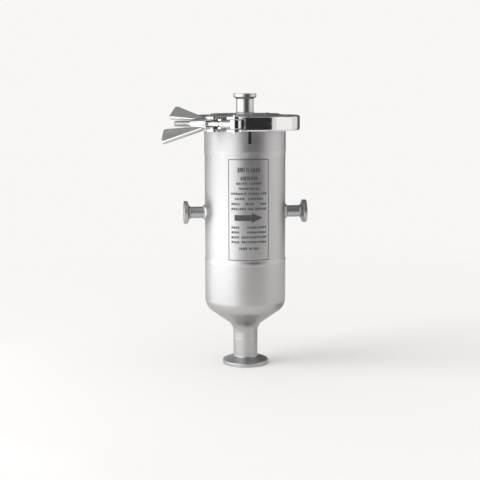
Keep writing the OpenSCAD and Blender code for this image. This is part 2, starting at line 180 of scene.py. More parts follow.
def rounded_loop(corners: Sequence[Sequence[float]], steps: int = 8) -> Array:
    """Closed outline with an arc at each corner.

    The arc starts radius * tan(turn / 2) before the corner, and its centre lies one radius to the side that
    the outline turns to.

    Args:
        corners: Point and radius of each corner, counter-clockwise.
        steps: Points on each arc.

    Returns:
        Outline points, one row each.
    """
    table = np.asarray(corners, float)
    point, radius = table[:, :2], table[:, 2:]
    along = unit(point - np.roll(point, 1, 0))
    turn = turning(along, np.roll(along, -1, 0))[:, None]
    start = point - along * radius * np.tan(np.abs(turn) / 2)
    left = np.stack([-along[:, 1], along[:, 0]], 1)
    centre = start + left * radius * np.sign(turn)
    spoke = (start - centre)[:, None]
    swing = turn * np.linspace(0, 1, steps)
    arc_x = spoke[..., 0] * np.cos(swing) - spoke[..., 1] * np.sin(swing)
    arc_y = spoke[..., 0] * np.sin(swing) + spoke[..., 1] * np.cos(swing)
    return (centre[:, None] + np.stack([arc_x, arc_y], -1)).reshape(-1, 2)


def dense(loop: Array, pitch: float) -> Array:
    """Outline with further points on its long sides, at even distances along it.

    The first added point stands a third of a pitch in, clear of the outline's first point.

    Args:
        loop: Closed outline.
        pitch: Distance between the added points.

    Returns:
        The outline's own points and the added ones, an even number of them.
    """
    ring = np.concatenate([loop, loop[:1]])
    along = np.concatenate([[0], np.cumsum(np.linalg.norm(np.diff(ring, axis=0), axis=1))])
    where = np.union1d(along[:-1], np.arange(pitch / 3, along[-1], pitch))
    where = where[: len(where) // 2 * 2]
    return np.stack([np.interp(where, along, ring[:, axis]) for axis in (0, 1)], 1)


def grid_quads(here: Array, there: Array) -> Array:
    """Quads between two rows of point numbers; point j joins point j + 1, and the last joins the first."""
    return np.stack([here, np.roll(here, -1, 1), np.roll(there, -1, 1), there], -1).reshape(-1, 4)


def swept(sections: Array, closed: bool = False) -> Solid:
    """Closed skin over a row of closed sections.

    Point j of a section joins point j + 1 of the same section and point j of the next. Unless the row closes
    on itself, a ladder of quads between the two halves of the first and the last section shuts the ends.

    Args:
        sections: Array of sections by points by 3, with an even number of points.
        closed: Whether the last section joins the first.

    Returns:
        The solid, with doubled points merged and its faces outward.
    """
    rows, columns = sections.shape[:2]
    index = np.arange(rows * columns).reshape(rows, columns)
    if closed:
        quads = grid_quads(index, np.roll(index, -1, 0))
    else:
        faces = [grid_quads(index[:-1], index[1:])]
        for end in (index[0][::-1], index[-1]):
            side = end[: columns // 2]
            other = end[columns // 2 :][::-1]
            faces.append(np.stack([side[:-1], side[1:], other[1:], other[:-1]], -1))
        quads = np.concatenate(faces)
    points = sections.reshape(-1, 3)
    key = np.round(points / MERGE_MM).astype(np.int64)
    _, first, inverse = np.unique(key, axis=0, return_index=True, return_inverse=True)
    points = points[first]
    quads = inverse.reshape(-1)[quads]
    corner = points[quads]
    volume = np.einsum("ij,ij->", corner[:, 0], np.cross(corner[:, 1], corner[:, 2]))
    volume += np.einsum("ij,ij->", corner[:, 0], np.cross(corner[:, 2], corner[:, 3]))
    return Solid(points, quads if volume > 0 else quads[:, ::-1])


def lathe(loop: Array, steps: int = 192, swell: float | Array = 0) -> Solid:
    """Outline of radius and height turned about Z.

    Each point goes to (r cos a, r sin a, z) for even angles a, and r may swell with the angle.

    Args:
        loop: Closed outline, radius and height in columns.
        steps: Angles round the axis.
        swell: Added radius, angles by points.

    Returns:
        The turned solid.
    """
    angle = around(steps)[:, None]
    radius = loop[:, 0] + swell
    height = np.broadcast_to(loop[:, 1], (steps, len(loop)))
    return swept(np.stack([radius * np.cos(angle), radius * np.sin(angle), height], -1), closed=True)


def turned_ring(bounds: Sequence[float], inner_edge: float, outer_edge: float, steps: int) -> Solid:
    """Plain ring about Z with rounded edges, or a pin where the inner radius is nought.

    Args:
        bounds: Inner radius, outer radius, lower height and upper height.
        inner_edge: Radius of the inner edges.
        outer_edge: Radius of the outer edges.
        steps: Angles round the axis.

    Returns:
        The ring.
    """
    inner, outer, low, high = bounds
    corners = [(inner, low, inner_edge), (outer, low, outer_edge)]
    corners += [(outer, high, outer_edge), (inner, high, inner_edge)]
    return lathe(rounded_loop(corners), steps)


def quarter_round(edge: float, steps: int = 6) -> tuple[Array, Array]:
    """Draw-in and rise of a rounded edge: edge * (1 - sin a) and edge * (1 - cos a) over a right angle."""
    angle = np.linspace(0, np.pi / 2, steps)
    return edge * (1 - np.sin(angle)), edge * (1 - np.cos(angle))


def plate(outline: Array, low: float, high: float, edge: float) -> Solid:
    """Flat plate with rounded edges: the outline, drawn in by a quarter round at both faces.

    Args:
        outline: Counter-clockwise outline in X and Y.
        low: Height of the underside.
        high: Height of the top.
        edge: Radius of both edges.

    Returns:
        The plate.
    """
    draw, rise = quarter_round(edge)
    inset = np.concatenate([draw, draw[::-1]])[:, None, None]
    height = np.concatenate([low + rise, (high - rise)[::-1]])[:, None, None]
    flat = outline - outward_of(outline) * inset
    return swept(np.concatenate([flat, np.broadcast_to(height, (*flat.shape[:2], 1))], -1))


def block(low: Sequence[float], high: Sequence[float]) -> Solid:
    """Box between two corners: its rectangle carried from the lower height to the upper one.

    Args:
        low: Least X, Y and Z.
        high: Greatest X, Y and Z.

    Returns:
        The box.
    """
    x, y = np.array([[low[0], high[0], high[0], low[0]], [low[1], low[1], high[1], high[1]]])
    z = np.repeat([[low[2]], [high[2]]], 4, 1)
    return swept(np.stack([np.tile(x, (2, 1)), np.tile(y, (2, 1)), z], -1))


def arc_bar(radius: float, depth: float, along: Array, middle: float, half: float | Array) -> Solid:
    """Thin bar bent round Z at the front: its four-cornered section carried along the arc.

    A distance s along the arc is the angle s / radius from -Y, and the bar reaches half above and below its
    middle.

    Args:
        radius: Radius of the bar's face.
        depth: How far it reaches into the wall.
        along: Distances along the arc, growing.
        middle: Height of its middle.
        half: Half its height, at each distance or all along.

    Returns:
        The bar.
    """
    angle = along[:, None] / radius - np.pi / 2
    across = np.array([radius - depth, radius, radius, radius - depth])
    height = middle + np.broadcast_to(half, along.shape)[:, None] * np.array([-1, -1, 1, 1])
    return swept(np.stack([across * np.cos(angle), across * np.sin(angle), height], -1))


def groove_corners(ring_r: float, groove_r: float, lip: float, bottom_r: float) -> list[Corner]:
    """Corners of a half-round groove in a flat face at height 0, from its inner lip to its outer one."""
    inner, outer = ring_r - groove_r, ring_r + groove_r
    return [(inner, 0, lip), (inner, groove_r, bottom_r), (outer, groove_r, bottom_r), (outer, 0, lip)]


def mesh_of(name: str, solids: Sequence[Solid], shaded: bool = True) -> bpy.types.Mesh:
    """Writes solids into one mesh, in metres.

    A corner that repeats the next one is dropped, so quads at a pole become triangles. Each point's normal is
    the sum of its faces' areas, so that flat faces stay flat beside small rounded edges.

    Args:
        name: Mesh name.
        solids: Closed solids.
        shaded: Whether the area-weighted normals are stored.

    Returns:
        The mesh.
    """
    offset = np.cumsum([0] + [len(solid.points) for solid in solids[:-1]])
    points = np.concatenate([solid.points for solid in solids]) * MM
    quads = np.concatenate([solid.quads + start for solid, start in zip(solids, offset)])
    keep = quads != np.roll(quads, -1, 1)
    whole = keep.sum(1) >= 3
    quads, keep = quads[whole], keep[whole]
    count = keep.sum(1)
    mesh = bpy.data.meshes.new(name)
    mesh.vertices.add(len(points))
    mesh.vertices.foreach_set("co", points.ravel())
    mesh.loops.add(int(count.sum()))
    mesh.loops.foreach_set("vertex_index", quads[keep].astype(np.int32))
    mesh.polygons.add(len(quads))
    mesh.polygons.foreach_set("loop_start", np.concatenate([[0], np.cumsum(count)[:-1]]).astype(np.int32))
    mesh.update(calc_edges=True)
    mesh.validate()
    if shaded:
        corner = points[quads]
        area = np.cross(corner[:, 2] - corner[:, 0], corner[:, 3] - corner[:, 1])
        normal = np.zeros_like(points)
        np.add.at(normal, quads.ravel(), np.repeat(area, 4, 0))
        normal /= np.linalg.norm(normal, axis=1, keepdims=True) + TINY
        mesh.normals_split_custom_set_from_vertices(normal.tolist())
    return mesh


def fused(name: str, joined: Sequence[Solid], cut: Sequence[Solid]) -> bpy.types.Mesh:
    """Joins solids into one closed mesh and cuts others away from it.

    Args:
        name: Mesh name.
        joined: Solids that become one.
        cut: Solids that are taken away.

    Returns:
        The mesh, with edges sharper than SHARP_DEG marked.
    """
    parts = [
        bpy.data.objects.new(f"{name}_{i}", mesh_of(f"{name}_{i}", [solid], shaded=False))
        for i, solid in enumerate([*joined, *cut])
    ]
    for part in parts:
        bpy.context.scene.collection.objects.link(part)
    for i, part in enumerate(parts[1:], 1):
        step = parts[0].modifiers.new(part.name, "BOOLEAN")
        step.solver = "MANIFOLD"
        step.operation = "UNION" if i < len(joined) else "DIFFERENCE"
        step.object = part
    graph = bpy.context.evaluated_depsgraph_get()
    mesh = bpy.data.meshes.new_from_object(parts[0].evaluated_get(graph))
    mesh.name = name
    for part in parts:
        data = part.data
        bpy.data.objects.remove(part)
        bpy.data.meshes.remove(data)
    mesh.set_sharp_from_angle(angle=math.radians(SHARP_DEG))
    return mesh


def linear(colour: str) -> tuple[float, float, float, float]:
    """Turns an sRGB hex colour to linear RGBA, by the standard's curve.

    Args:
        colour: Six hex digits after a hash sign.

    Returns:
        Linear red, green and blue, with alpha 1.
    """
    share = np.array([int(colour[i : i + 2], 16) for i in (1, 3, 5)]) / 255
    value = np.where(share <= 0.04045, share / 12.92, ((share + 0.055) / 1.055) ** 2.4)
    return (*(float(part) for part in value), 1.0)


def add_node(tree: Tree, kind: str, inputs: dict[Any, Any], **settings: Any) -> bpy.types.Node:
    """Adds a node with its settings, and sets or links its inputs.

    Args:
        tree: Node tree to add to.
        kind: Node type.
        inputs: Value or output socket for each input, by name or number.
        settings: Attributes of the node.

    Returns:
        The node.
    """
    node = tree.nodes.new(kind)
    for key, value in settings.items():
        setattr(node, key, value)
    for key, value in inputs.items():
        if isinstance(value, bpy.types.NodeSocket):
            tree.links.new(value, node.inputs[key])
        else:
            node.inputs[key].default_value = value
    return node


def blank_material(name: str) -> bpy.types.Material:
    """New material with an empty node tree.

    Args:
        name: Material name.

    Returns:
        The material.
    """
    made = bpy.data.materials.new(name)
    made.use_nodes = True
    made.node_tree.nodes.clear()
    return made


def per_metre(size_mm: float) -> float:
    """Texture scale at which one noise cell is that many millimetres wide."""
    return 1 / (size_mm * MM)


@dataclass(frozen=True)
class Finish:
    """A surface finish: two shades that change in soft patches, over a fine unevenness."""

    name: str
    dark: str
    light: str
    patch_mm: float
    depth_mm: float

    def material(self) -> bpy.types.Material:
        """Makes the material, unless it is already made.

        Returns:
            The material.
        """
        found = bpy.data.materials.get(self.name)
        if found:
            return found
        made = blank_material(self.name)
        tree = made.node_tree
        coords = add_node(tree, "ShaderNodeTexCoord", {}).outputs["Object"]
        shader = add_node(tree, "ShaderNodeBsdfPrincipled", self.sockets(tree, coords))
        add_node(tree, "ShaderNodeOutputMaterial", {"Surface": shader.outputs[0]})
        return made

    def patches(self, tree: Tree, coords: Socket, detail: float) -> tuple[Socket, Socket]:
        """Noise with cells one patch wide, and the shade that follows it.

        Args:
            tree: The material's node tree.
            coords: Object coordinates.
            detail: How many finer layers the noise has.

        Returns:
            The noise and the shade.
        """
        field = {"Vector": coords, "Scale": per_metre(self.patch_mm), "Detail": detail}
        patch = add_node(tree, "ShaderNodeTexNoise", field).outputs[0]
        between = {0: patch, 6: linear(self.dark), 7: linear(self.light)}
        return patch, add_node(tree, "ShaderNodeMix", between, data_type="RGBA").outputs[2]

    def sockets(self, tree: Tree, coords: Socket) -> dict[str, Any]:
        """Values and links for the Principled shader, which each kind of finish gives."""
        raise NotImplementedError


@dataclass(frozen=True)
class Steel(Finish):
    """Stainless steel: bare metal whose grain sets how far it blurs what it reflects.

    Soft patches change the roughness and shade a little, as hand polishing does, and a fine bump gives the
    grain. The edge shade is the tint of reflections near grazing, which a blasted surface dulls.
    """

    smooth: float
    rough: float
    grain_mm: float
    edge: str = "#ffffff"
    rings: bool = False

    def sockets(self, tree: Tree, coords: Socket) -> dict[str, Any]:
        """Values and links for the Principled shader.

        Args:
            tree: The material's node tree.
            coords: Object coordinates.

        Returns:
            Value or output socket for each input.
        """
        patch, shade = self.patches(tree, coords, detail=3.0)
        spread = {"Value": patch, "From Min": NOISE_LOW, "From Max": NOISE_HIGH}
        rough = add_node(tree, "ShaderNodeMapRange", {**spread, "To Min": self.smooth, "To Max": self.rough})
        height = {"Height": self.grain(tree, coords), "Distance": self.depth_mm * MM}
        bump = add_node(tree, "ShaderNodeBump", {"Strength": 1.0, **height})
        return {
            "Base Color": shade,
            "Metallic": 1.0,
            "Roughness": rough.outputs[0],
            "Normal": bump.outputs[0],
            "Specular Tint": linear(self.edge),
        }

    def grain(self, tree: Tree, coords: Socket) -> Socket:
        """Height of the grain: even noise, or rings about Z one grain width apart.

        Args:
            tree: The material's node tree.
            coords: Object coordinates.

        Returns:
            The height.
        """
        scale = per_metre(self.grain_mm)
        if not self.rings:
            field = {"Vector": coords, "Scale": scale, "Detail": 2.0}
            return add_node(tree, "ShaderNodeTexNoise", field).outputs[0]
        field = {"Vector": coords, "Scale": 2 * math.pi / WAVE_RATE * scale}
        return add_node(
            tree, "ShaderNodeTexWave", field, wave_type="RINGS", rings_direction="Z"
        ).outputs[1]


@dataclass(frozen=True)
class Coated(Finish):
    """A plain non-metal: moulded plastic, ink or paint, with a slight change of shade over its surface."""

    roughness: float

    def sockets(self, tree: Tree, coords: Socket) -> dict[str, Any]:
        """Values and links for the Principled shader.

        Args:
            tree: The material's node tree.
            coords: Object coordinates.

        Returns:
            Value or output socket for each input.
        """
        patch, shade = self.patches(tree, coords, detail=4.0)
        bump = add_node(tree, "ShaderNodeBump", {"Distance": self.depth_mm * MM, "Height": patch})
        return {"Base Color": shade, "Roughness": self.roughness, "Normal": bump.outputs[0]}


# Bead-blasted 316L: the blast leaves fine even pits, so it shows broad soft highlights.
# The pits are drawn at 0.7 mm, coarser than real ones, so that they show.
SATIN = Steel(
    "stainless_316l_bead_blasted", "#b0b0b0", "#c0bfbf", patch_mm=34, depth_mm=0.004,
    smooth=0.38, rough=0.46, grain_mm=0.7, edge="#f0f0f0",
)
# The welds are ground and blasted with the rest, and stay a little brighter.
WELD = Steel(
    "stainless_316l_weld_blasted", "#b4b4b4", "#c5c5c4", patch_mm=5, depth_mm=0.008,
    smooth=0.34, rough=0.44, grain_mm=0.9, edge="#f0f0f0",
)
# Turned 316L: feed marks run round it, 0.6 mm apart here so that they show.
TURNED = Steel(
    "stainless_316l_turned", "#bdbdbc", "#cdcdcc", patch_mm=20, depth_mm=0.0008,
    smooth=0.30, rough=0.38, grain_mm=0.6, rings=True,
)
# Investment-cast 304, buffed to a mirror: sharp reflections that waver with the casting's slow swells.
MIRROR = Steel(
    "stainless_304_cast_mirror_polished", "#d6d6d4", "#e2e1e0", patch_mm=16, depth_mm=0.012,
    smooth=0.06, rough=0.11, grain_mm=9,
)
# The same casting, only tumbled: small reflections blur into an even grey.
TUMBLED = Steel(
    "stainless_304_cast_tumbled", "#bfbfbe", "#d0d0cf", patch_mm=6, depth_mm=0.006,
    smooth=0.16, rough=0.24, grain_mm=0.9,
)
# Drawn rod, pins and rolled thread: bright, with faint draw marks.
DRAWN = Steel(
    "stainless_304_drawn", "#cfcfce", "#dddcdb", patch_mm=6, depth_mm=0.002,
    smooth=0.10, rough=0.16, grain_mm=1.5,
)
# Moulded PTFE: waxy white and a little cloudy.
GASKET = Coated("ptfe_moulded", "#e4e3de", "#f2f1ec", patch_mm=4, depth_mm=0.01, roughness=0.42)
# Etching ink: dull dark grey, a little uneven, and paler where it is worn.
INK = Coated("etching_ink_dark_grey", "#3d3e40", "#4a4b4d", patch_mm=1.2, depth_mm=0.004, roughness=0.55)
FAINT_INK = Coated("etching_ink_worn", "#47484a", "#5e5f61", patch_mm=0.9, depth_mm=0.004, roughness=0.55)
# Enamel wiped into the engraved mark: black, with a soft gloss.
PAINT = Coated("enamel_black_fill", "#101112", "#1c1d1e", patch_mm=2.0, depth_mm=0.01, roughness=0.45)


def piece(
    name: str,
    solids: Sequence[Solid],
    finish: Finish,
    body: Body,
    node: str | None = None,
    cut: Sequence[Solid] | None = None,
) -> None:
    """Makes a piece of closed solids, dresses it and lets it ride on a body.

    Args:
        name: Piece name.
        solids: Its solids, in place.
        finish: Its finish.
        body: The body that it rides on.
        node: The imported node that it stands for.
        cut: Solids to take away. Where this is given, even empty, the solids are fused into one, and normals
            are weighted by face area, so that flats stay flat beside rounded edges.
    """
    mesh = mesh_of(name, solids) if cut is None else fused(name, solids, cut)
    made = bpy.data.objects.new(name, mesh)
    bpy.context.scene.collection.objects.link(made)
    mesh.materials.clear()
    mesh.materials.append(finish.material())
    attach(made, body.value)
    if node:
        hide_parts(node)
    if cut is not None:
        made.modifiers.new("flat_faces", "WEIGHTED_NORMAL").keep_sharp = True
    LOG.info("%s on %s: %d faces", name, body.value, len(mesh.polygons))


def dress(node: bpy.types.Object, finish: Finish) -> None:
    """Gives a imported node, whose shape is right as it is, its finish.

    Args:
        node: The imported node.
        finish: Its finish.
    """
    node.data.materials.clear()
    node.data.materials.append(finish.material())
    LOG.info("%s keeps its own mesh", node.name)


@dataclass(frozen=True)
class Levels:
    """Heights and radii in millimetres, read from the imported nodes' boxes."""

    drain_weld: float
    lower_seam: float
    upper_seam: float
    body_face: float
    cap_face: float
    cap_top: float
    vent_top: float
    nozzle: float
    shell_r: float
    flange_r: float
    nozzle_reach: float

    @property
    def joint(self) -> float:
        """Height of the middle of the sealing joint."""
        return (self.body_face + self.cap_face) / 2

    @classmethod
    def from_frame(cls) -> "Levels":
        """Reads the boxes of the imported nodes.

        Returns:
            The heights and radii.
        """
        low, high = {}, {}
        nodes = ("drain_ferrule", "shell_tube", "body_ferrule", "top_cap", "vent_ferrule", "outlet_ferrule")
        for node in nodes:
            low[node], high[node] = (np.array(corner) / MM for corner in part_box(node))
        return cls(
            drain_weld=high["drain_ferrule"][2],
            lower_seam=low["shell_tube"][2],
            upper_seam=high["shell_tube"][2],
            body_face=high["body_ferrule"][2],
            cap_face=low["top_cap"][2],
            cap_top=high["top_cap"][2],
            vent_top=high["vent_ferrule"][2],
            nozzle=(low["outlet_ferrule"][2] + high["outlet_ferrule"][2]) / 2,
            shell_r=high["shell_tube"][0],
            flange_r=high["body_ferrule"][0],
            nozzle_reach=high["outlet_ferrule"][0],
        )


@dataclass(frozen=True)
class Ferrule:
    """A clamp ferrule's section, its face at height 0 and its tube running up."""

    bore_r: float
    tube_r: float
    flange_r: float
    rim: float
    hollow_r: float
    groove_r: float
    face_edge: float
    back_edge: float
    groove_shift: float = 0.0
    groove_round: float = 0.95
    groove_lip: float = 0.125
    bore_edge: float = 0.25
    seam_edge: float = 0.05

    def loop(self, length: float) -> Array:
        """Outline: flat face with a half-round groove, rounded rim, sloping back, hollow and tube.

        Args:
            length: Height of the tube's end above the face.

        Returns:
            Radius and height of each point, counter-clockwise.
        """
        back = self.rim + (self.flange_r - self.tube_r) * math.tan(TAPER)
        ring_r = (self.bore_r + self.flange_r) / 2 + self.groove_shift
        return rounded_loop(
            [
                (self.bore_r, 0, self.bore_edge),
                *groove_corners(ring_r, self.groove_r, self.groove_lip, self.groove_round * self.groove_r),
                (self.flange_r, 0, self.face_edge),
                (self.flange_r, self.rim, self.back_edge),
                (self.tube_r, back, self.hollow_r),
                (self.tube_r, length, self.seam_edge),
                (self.bore_r, length, self.seam_edge),
            ],
            FINE_ARC,
        )


@dataclass(frozen=True)
class Bead:
    """A girth weld's size: how far its middle lies above the seam, its width and its height."""

    shift: float
    width: float
    proud: float


@dataclass(frozen=True)
class Fillet:
    """A fillet weld's section at a tube's foot: a bulging triangle that reaches a little into both walls."""

    leg: float
    under: float
    overlap: float
    bulge_out: float
    bulge_r: float
    edge: float
    bulge_up: float = 0.55
    root: float = 0.6
    root_edge: float = 0.1

    def loop(self, tube_r: float) -> Array:
        """Outline of the section.

        Args:
            tube_r: Radius of the tube.

        Returns:
            Distance from the tube's axis and height of each point.
        """
        return rounded_loop(
            [
                (tube_r - self.root, -self.under, self.root_edge),
                (tube_r + self.leg, -self.under, self.edge),
                (tube_r + self.bulge_out * self.leg, self.bulge_up * self.leg, self.bulge_r),
                (tube_r - self.overlap, self.leg, self.edge),
            ]
        )


@dataclass
class Vessel:
    """Welded vessel: body ferrule, shell, reducer, drain and the two nozzles."""

    levels: Levels
    body_r: float = 44.45
    bore_r: float = 42.15
    flange_rim: float = 2.85
    flange_groove_r: float = 1.55
    flange_edge: float = 0.5
    hollow_r: float = 1.6
    upper_bead: Bead = Bead(-2.5, 10.4, 0.105)
    lower_bead: Bead = Bead(1.0, 7.2, 0.245)
    drain_bead: Bead = Bead(0.0, 3.6, 0.105)
    bead_points: int = 25
    bead_sink: float = 0.03
    bead_root: float = 0.4
    mark_w: float = 3.2
    mark_h: float = 13.0
    mark_depth: float = 0.25
    mark_fill: float = 0.17
    mark_root: float = 0.1
    mark_points: int = 7
    mark_over: float = 1.0
    neck: float = 6.9
    shoulder_h: float = 38.6
    knuckle_r: float = 16.6
    neck_hollow_r: float = 15.0
    seam_edge: float = 0.05
    reducer_arc: int = 24
    drain_end: Ferrule = Ferrule(
        bore_r=11.85, tube_r=13.45, flange_r=25.25, rim=4.0, hollow_r=1.6,
        groove_r=1.5, face_edge=0.5, back_edge=1.5, groove_shift=1.5,
    )
    nozzle_end: Ferrule = Ferrule(
        bore_r=4.7, tube_r=6.35, flange_r=12.5, rim=4.1, hollow_r=3.0,
        groove_r=0.9, face_edge=0.45, back_edge=0.8,
    )
    nozzle_weld: Fillet = Fillet(2.6, under=0.4, overlap=0.05, bulge_out=0.62, bulge_r=1.1, edge=0.15)
    ripple_pitch: float = 1.6
    ripple_h: float = 0.05
    ripple_steps: int = 8
    ripple_bow: float = 2.4
    saddle_steps: int = 10
    saddle_bow: float = 2.0
    wander: float = 0.35
    wander_waves: tuple[int, int] = (7, 3)
    wander_phase: float = 1.3

    def build(self) -> None:
        """Builds and dresses every piece of the vessel."""
        self.body_ferrule()
        self.reducer()
        self.drain()
        for side in Side:
            self.nozzle(side)

    def bead(self, seam: float, size: Bead, below: float, above: float) -> Solid:
        """Girth weld: a low rippled hump turned about Z, running smoothly from one wall to the other.

        With u across the seam from -1 to 1, the radius eases between the walls as (3 t^2 - 2 t^3) with
        t = (u + 1) / 2, and the hump adds (1 - u^2)^2. Each ripple is a cosine of the way round less a share
        of u^2, so its crest is a bow, and its height wanders slowly round the seam.

        Args:
            seam: Height of the seam.
            size: Size of the hump.
            below: Radius of the wall under the seam.
            above: Radius of the wall over it.

        Returns:
            The bead, closed inside the wall.
        """
        across = np.linspace(-1, 1, self.bead_points)
        share = (across + 1) / 2
        hump = (1 - across**2) ** 2
        ease = 3 * share**2 - 2 * share**3
        radius = below + (above - below) * ease + size.proud * hump - self.bead_sink
        top = np.stack([radius, seam + size.shift + across * size.width / 2], 1)
        loop = np.concatenate([top, top[::-1] - np.array([size.proud + self.bead_root, 0])])
        count = int(2 * np.pi * above / self.ripple_pitch)
        steps = self.ripple_steps * count
        angle = around(steps)[:, None]
        crest = np.cos(count * angle - self.ripple_bow * across**2) * hump
        first, second = self.wander_waves
        wander = 1 + self.wander * np.sin(first * angle + self.wander_phase) * np.sin(second * angle)
        swell = np.concatenate([crest * wander, np.zeros((steps, len(across)))], 1)
        return lathe(loop, steps, swell * self.ripple_h)

    def body_ferrule(self) -> None:
        """Open top of the vessel, with its flange, index mark and upper girth weld."""
        levels = self.levels
        ferrule = Ferrule(
            bore_r=self.bore_r, tube_r=self.body_r, flange_r=levels.flange_r, rim=self.flange_rim,
            hollow_r=self.hollow_r, groove_r=self.flange_groove_r,
            face_edge=self.flange_edge, back_edge=self.flange_edge,
        )
        loop = ferrule.loop(levels.body_face - levels.upper_seam)
        wall = lathe(loop, LARGE_TURN).moved(MIRROR_Z, (0, 0, levels.body_face))
        slope = (levels.flange_r - self.body_r) * math.tan(TAPER)
        top = levels.body_face - self.flange_rim - slope - self.hollow_r
        half_w, half_h = self.mark_w / 2, self.mark_h / 2
        front, floor = -self.body_r - self.mark_over, self.mark_depth - self.body_r
        slot = block((-half_w, front, top - self.mark_h), (half_w, floor, top))
        piece("body_ferrule_blasted", [wall], SATIN, Body.VESSEL, "body_ferrule", cut=[slot])
        bead = self.bead(levels.upper_seam, self.upper_bead, levels.shell_r, self.body_r)
        piece("upper_girth_weld", [bead], WELD, Body.VESSEL)
        along = np.linspace(-half_w, half_w, self.mark_points)
        face = self.body_r - self.mark_depth + self.mark_fill
        fill = arc_bar(face, self.mark_fill + self.mark_root, along, top - half_h, half_h)
        piece("index_mark_fill", [fill], PAINT, Body.VESSEL)

    def reducer_wall(self, wide: float, knuckle: float, narrow: float, hollow: float) -> list[Corner]:
        """Corners of one wall of the reducer, drain weld to girth weld.

        The cone is the inner common tangent of the knuckle's circle and the neck's circle, so its two corners
        lie radius * tan(slope / 2) beyond the circles' centres.

        Args:
            wide: Radius at the girth weld.
            knuckle: Radius of the knuckle.
            narrow: Radius at the drain.
            hollow: Radius of the neck's hollow.

        Returns:
            Radius, height and rounding of each corner.
        """
        low = self.levels.drain_weld + self.neck
        high = low + self.shoulder_h
        span = np.array([narrow + hollow - wide + knuckle, -self.shoulder_h])
        reach = math.acos((knuckle + hollow) / np.linalg.norm(span))
        slope = -(math.atan2(span[1], span[0]) + reach)
        return [
            (narrow, self.levels.drain_weld, self.seam_edge),
            (narrow, low + hollow * math.tan(slope / 2), hollow),
            (wide, high - knuckle * math.tan(slope / 2), knuckle),
            (wide, self.levels.lower_seam, self.seam_edge),
        ]

    def reducer(self) -> None:
        """Concentric reducer, with the lower girth weld and the drain's weld."""
        levels, drain = self.levels, self.drain_end
        wall = self.body_r - self.bore_r
        thin = drain.tube_r - drain.bore_r
        outer = self.reducer_wall(self.body_r, self.knuckle_r, drain.tube_r, self.neck_hollow_r)
        inner = self.reducer_wall(
            self.bore_r, self.knuckle_r - wall, drain.bore_r, self.neck_hollow_r + thin
        )
        shell = lathe(rounded_loop([*outer, *inner[::-1]], self.reducer_arc), LARGE_TURN)
        piece("bottom_reducer_blasted", [shell], SATIN, Body.VESSEL, "bottom_reducer")
        girth = self.bead(levels.lower_seam, self.lower_bead, self.body_r, levels.shell_r)
        foot = self.bead(levels.drain_weld, self.drain_bead, drain.tube_r, drain.tube_r)
        piece("lower_girth_welds", [girth, foot], WELD, Body.VESSEL)

    def drain(self) -> None:
        """Drain ferrule, which the vessel stands on."""
        tube = lathe(self.drain_end.loop(self.levels.drain_weld))
        piece("drain_ferrule_blasted", [tube], SATIN, Body.VESSEL, "drain_ferrule")

    def nozzle(self, side: Side) -> None:
        """Inlet or outlet ferrule with its fillet weld.

        Args:
            side: Which of the two.
        """
        levels = self.levels
        node = f"{side.name.lower()}_ferrule"
        loop = self.nozzle_end.loop(levels.nozzle_reach - self.bore_r)
        outlet = side is Side.OUTLET
        place = (side.value * levels.nozzle_reach, 0, levels.nozzle)
        tube = lathe(loop, SMALL_TURN).moved(TO_MINUS_X if outlet else TO_PLUS_X, place)
        weld = self.saddle_weld().moved(UPRIGHT if outlet else MIRROR_X, (0, 0, levels.nozzle))
        piece(f"{node}_blasted", [tube], SATIN, Body.VESSEL, node)
        piece(f"{node}_weld", [weld], WELD, Body.VESSEL)

    def saddle_weld(self) -> Solid:
        """Fillet weld round the outlet: its section carried round the nozzle on the shell's own surface.

        A point at distance d from the nozzle's axis and height h above the shell lies at
        x = sqrt(shell_r^2 - (d cos a)^2) + h, and the bulge ripples with the angle a.

        Returns:
            The weld, about the nozzle's axis.
        """
        leg, tube_r = self.nozzle_weld.leg, self.nozzle_end.tube_r
        loop = self.nozzle_weld.loop(tube_r)
        count = int(2 * np.pi * (tube_r + leg / 2) / self.ripple_pitch)
        angle = around(self.saddle_steps * count)[:, None]
        ripple = np.cos(count * angle + self.saddle_bow * loop[:, 1])
        bulge = np.clip(loop[:, 1] / leg, 0, 1) * ripple * self.ripple_h
        distance = loop[:, 0] + bulge
        y, z = distance * np.cos(angle), distance * np.sin(angle)
        x = np.sqrt(self.levels.shell_r**2 - y**2) + loop[:, 1] + bulge
        return swept(np.stack([x, y, z], -1), closed=True)


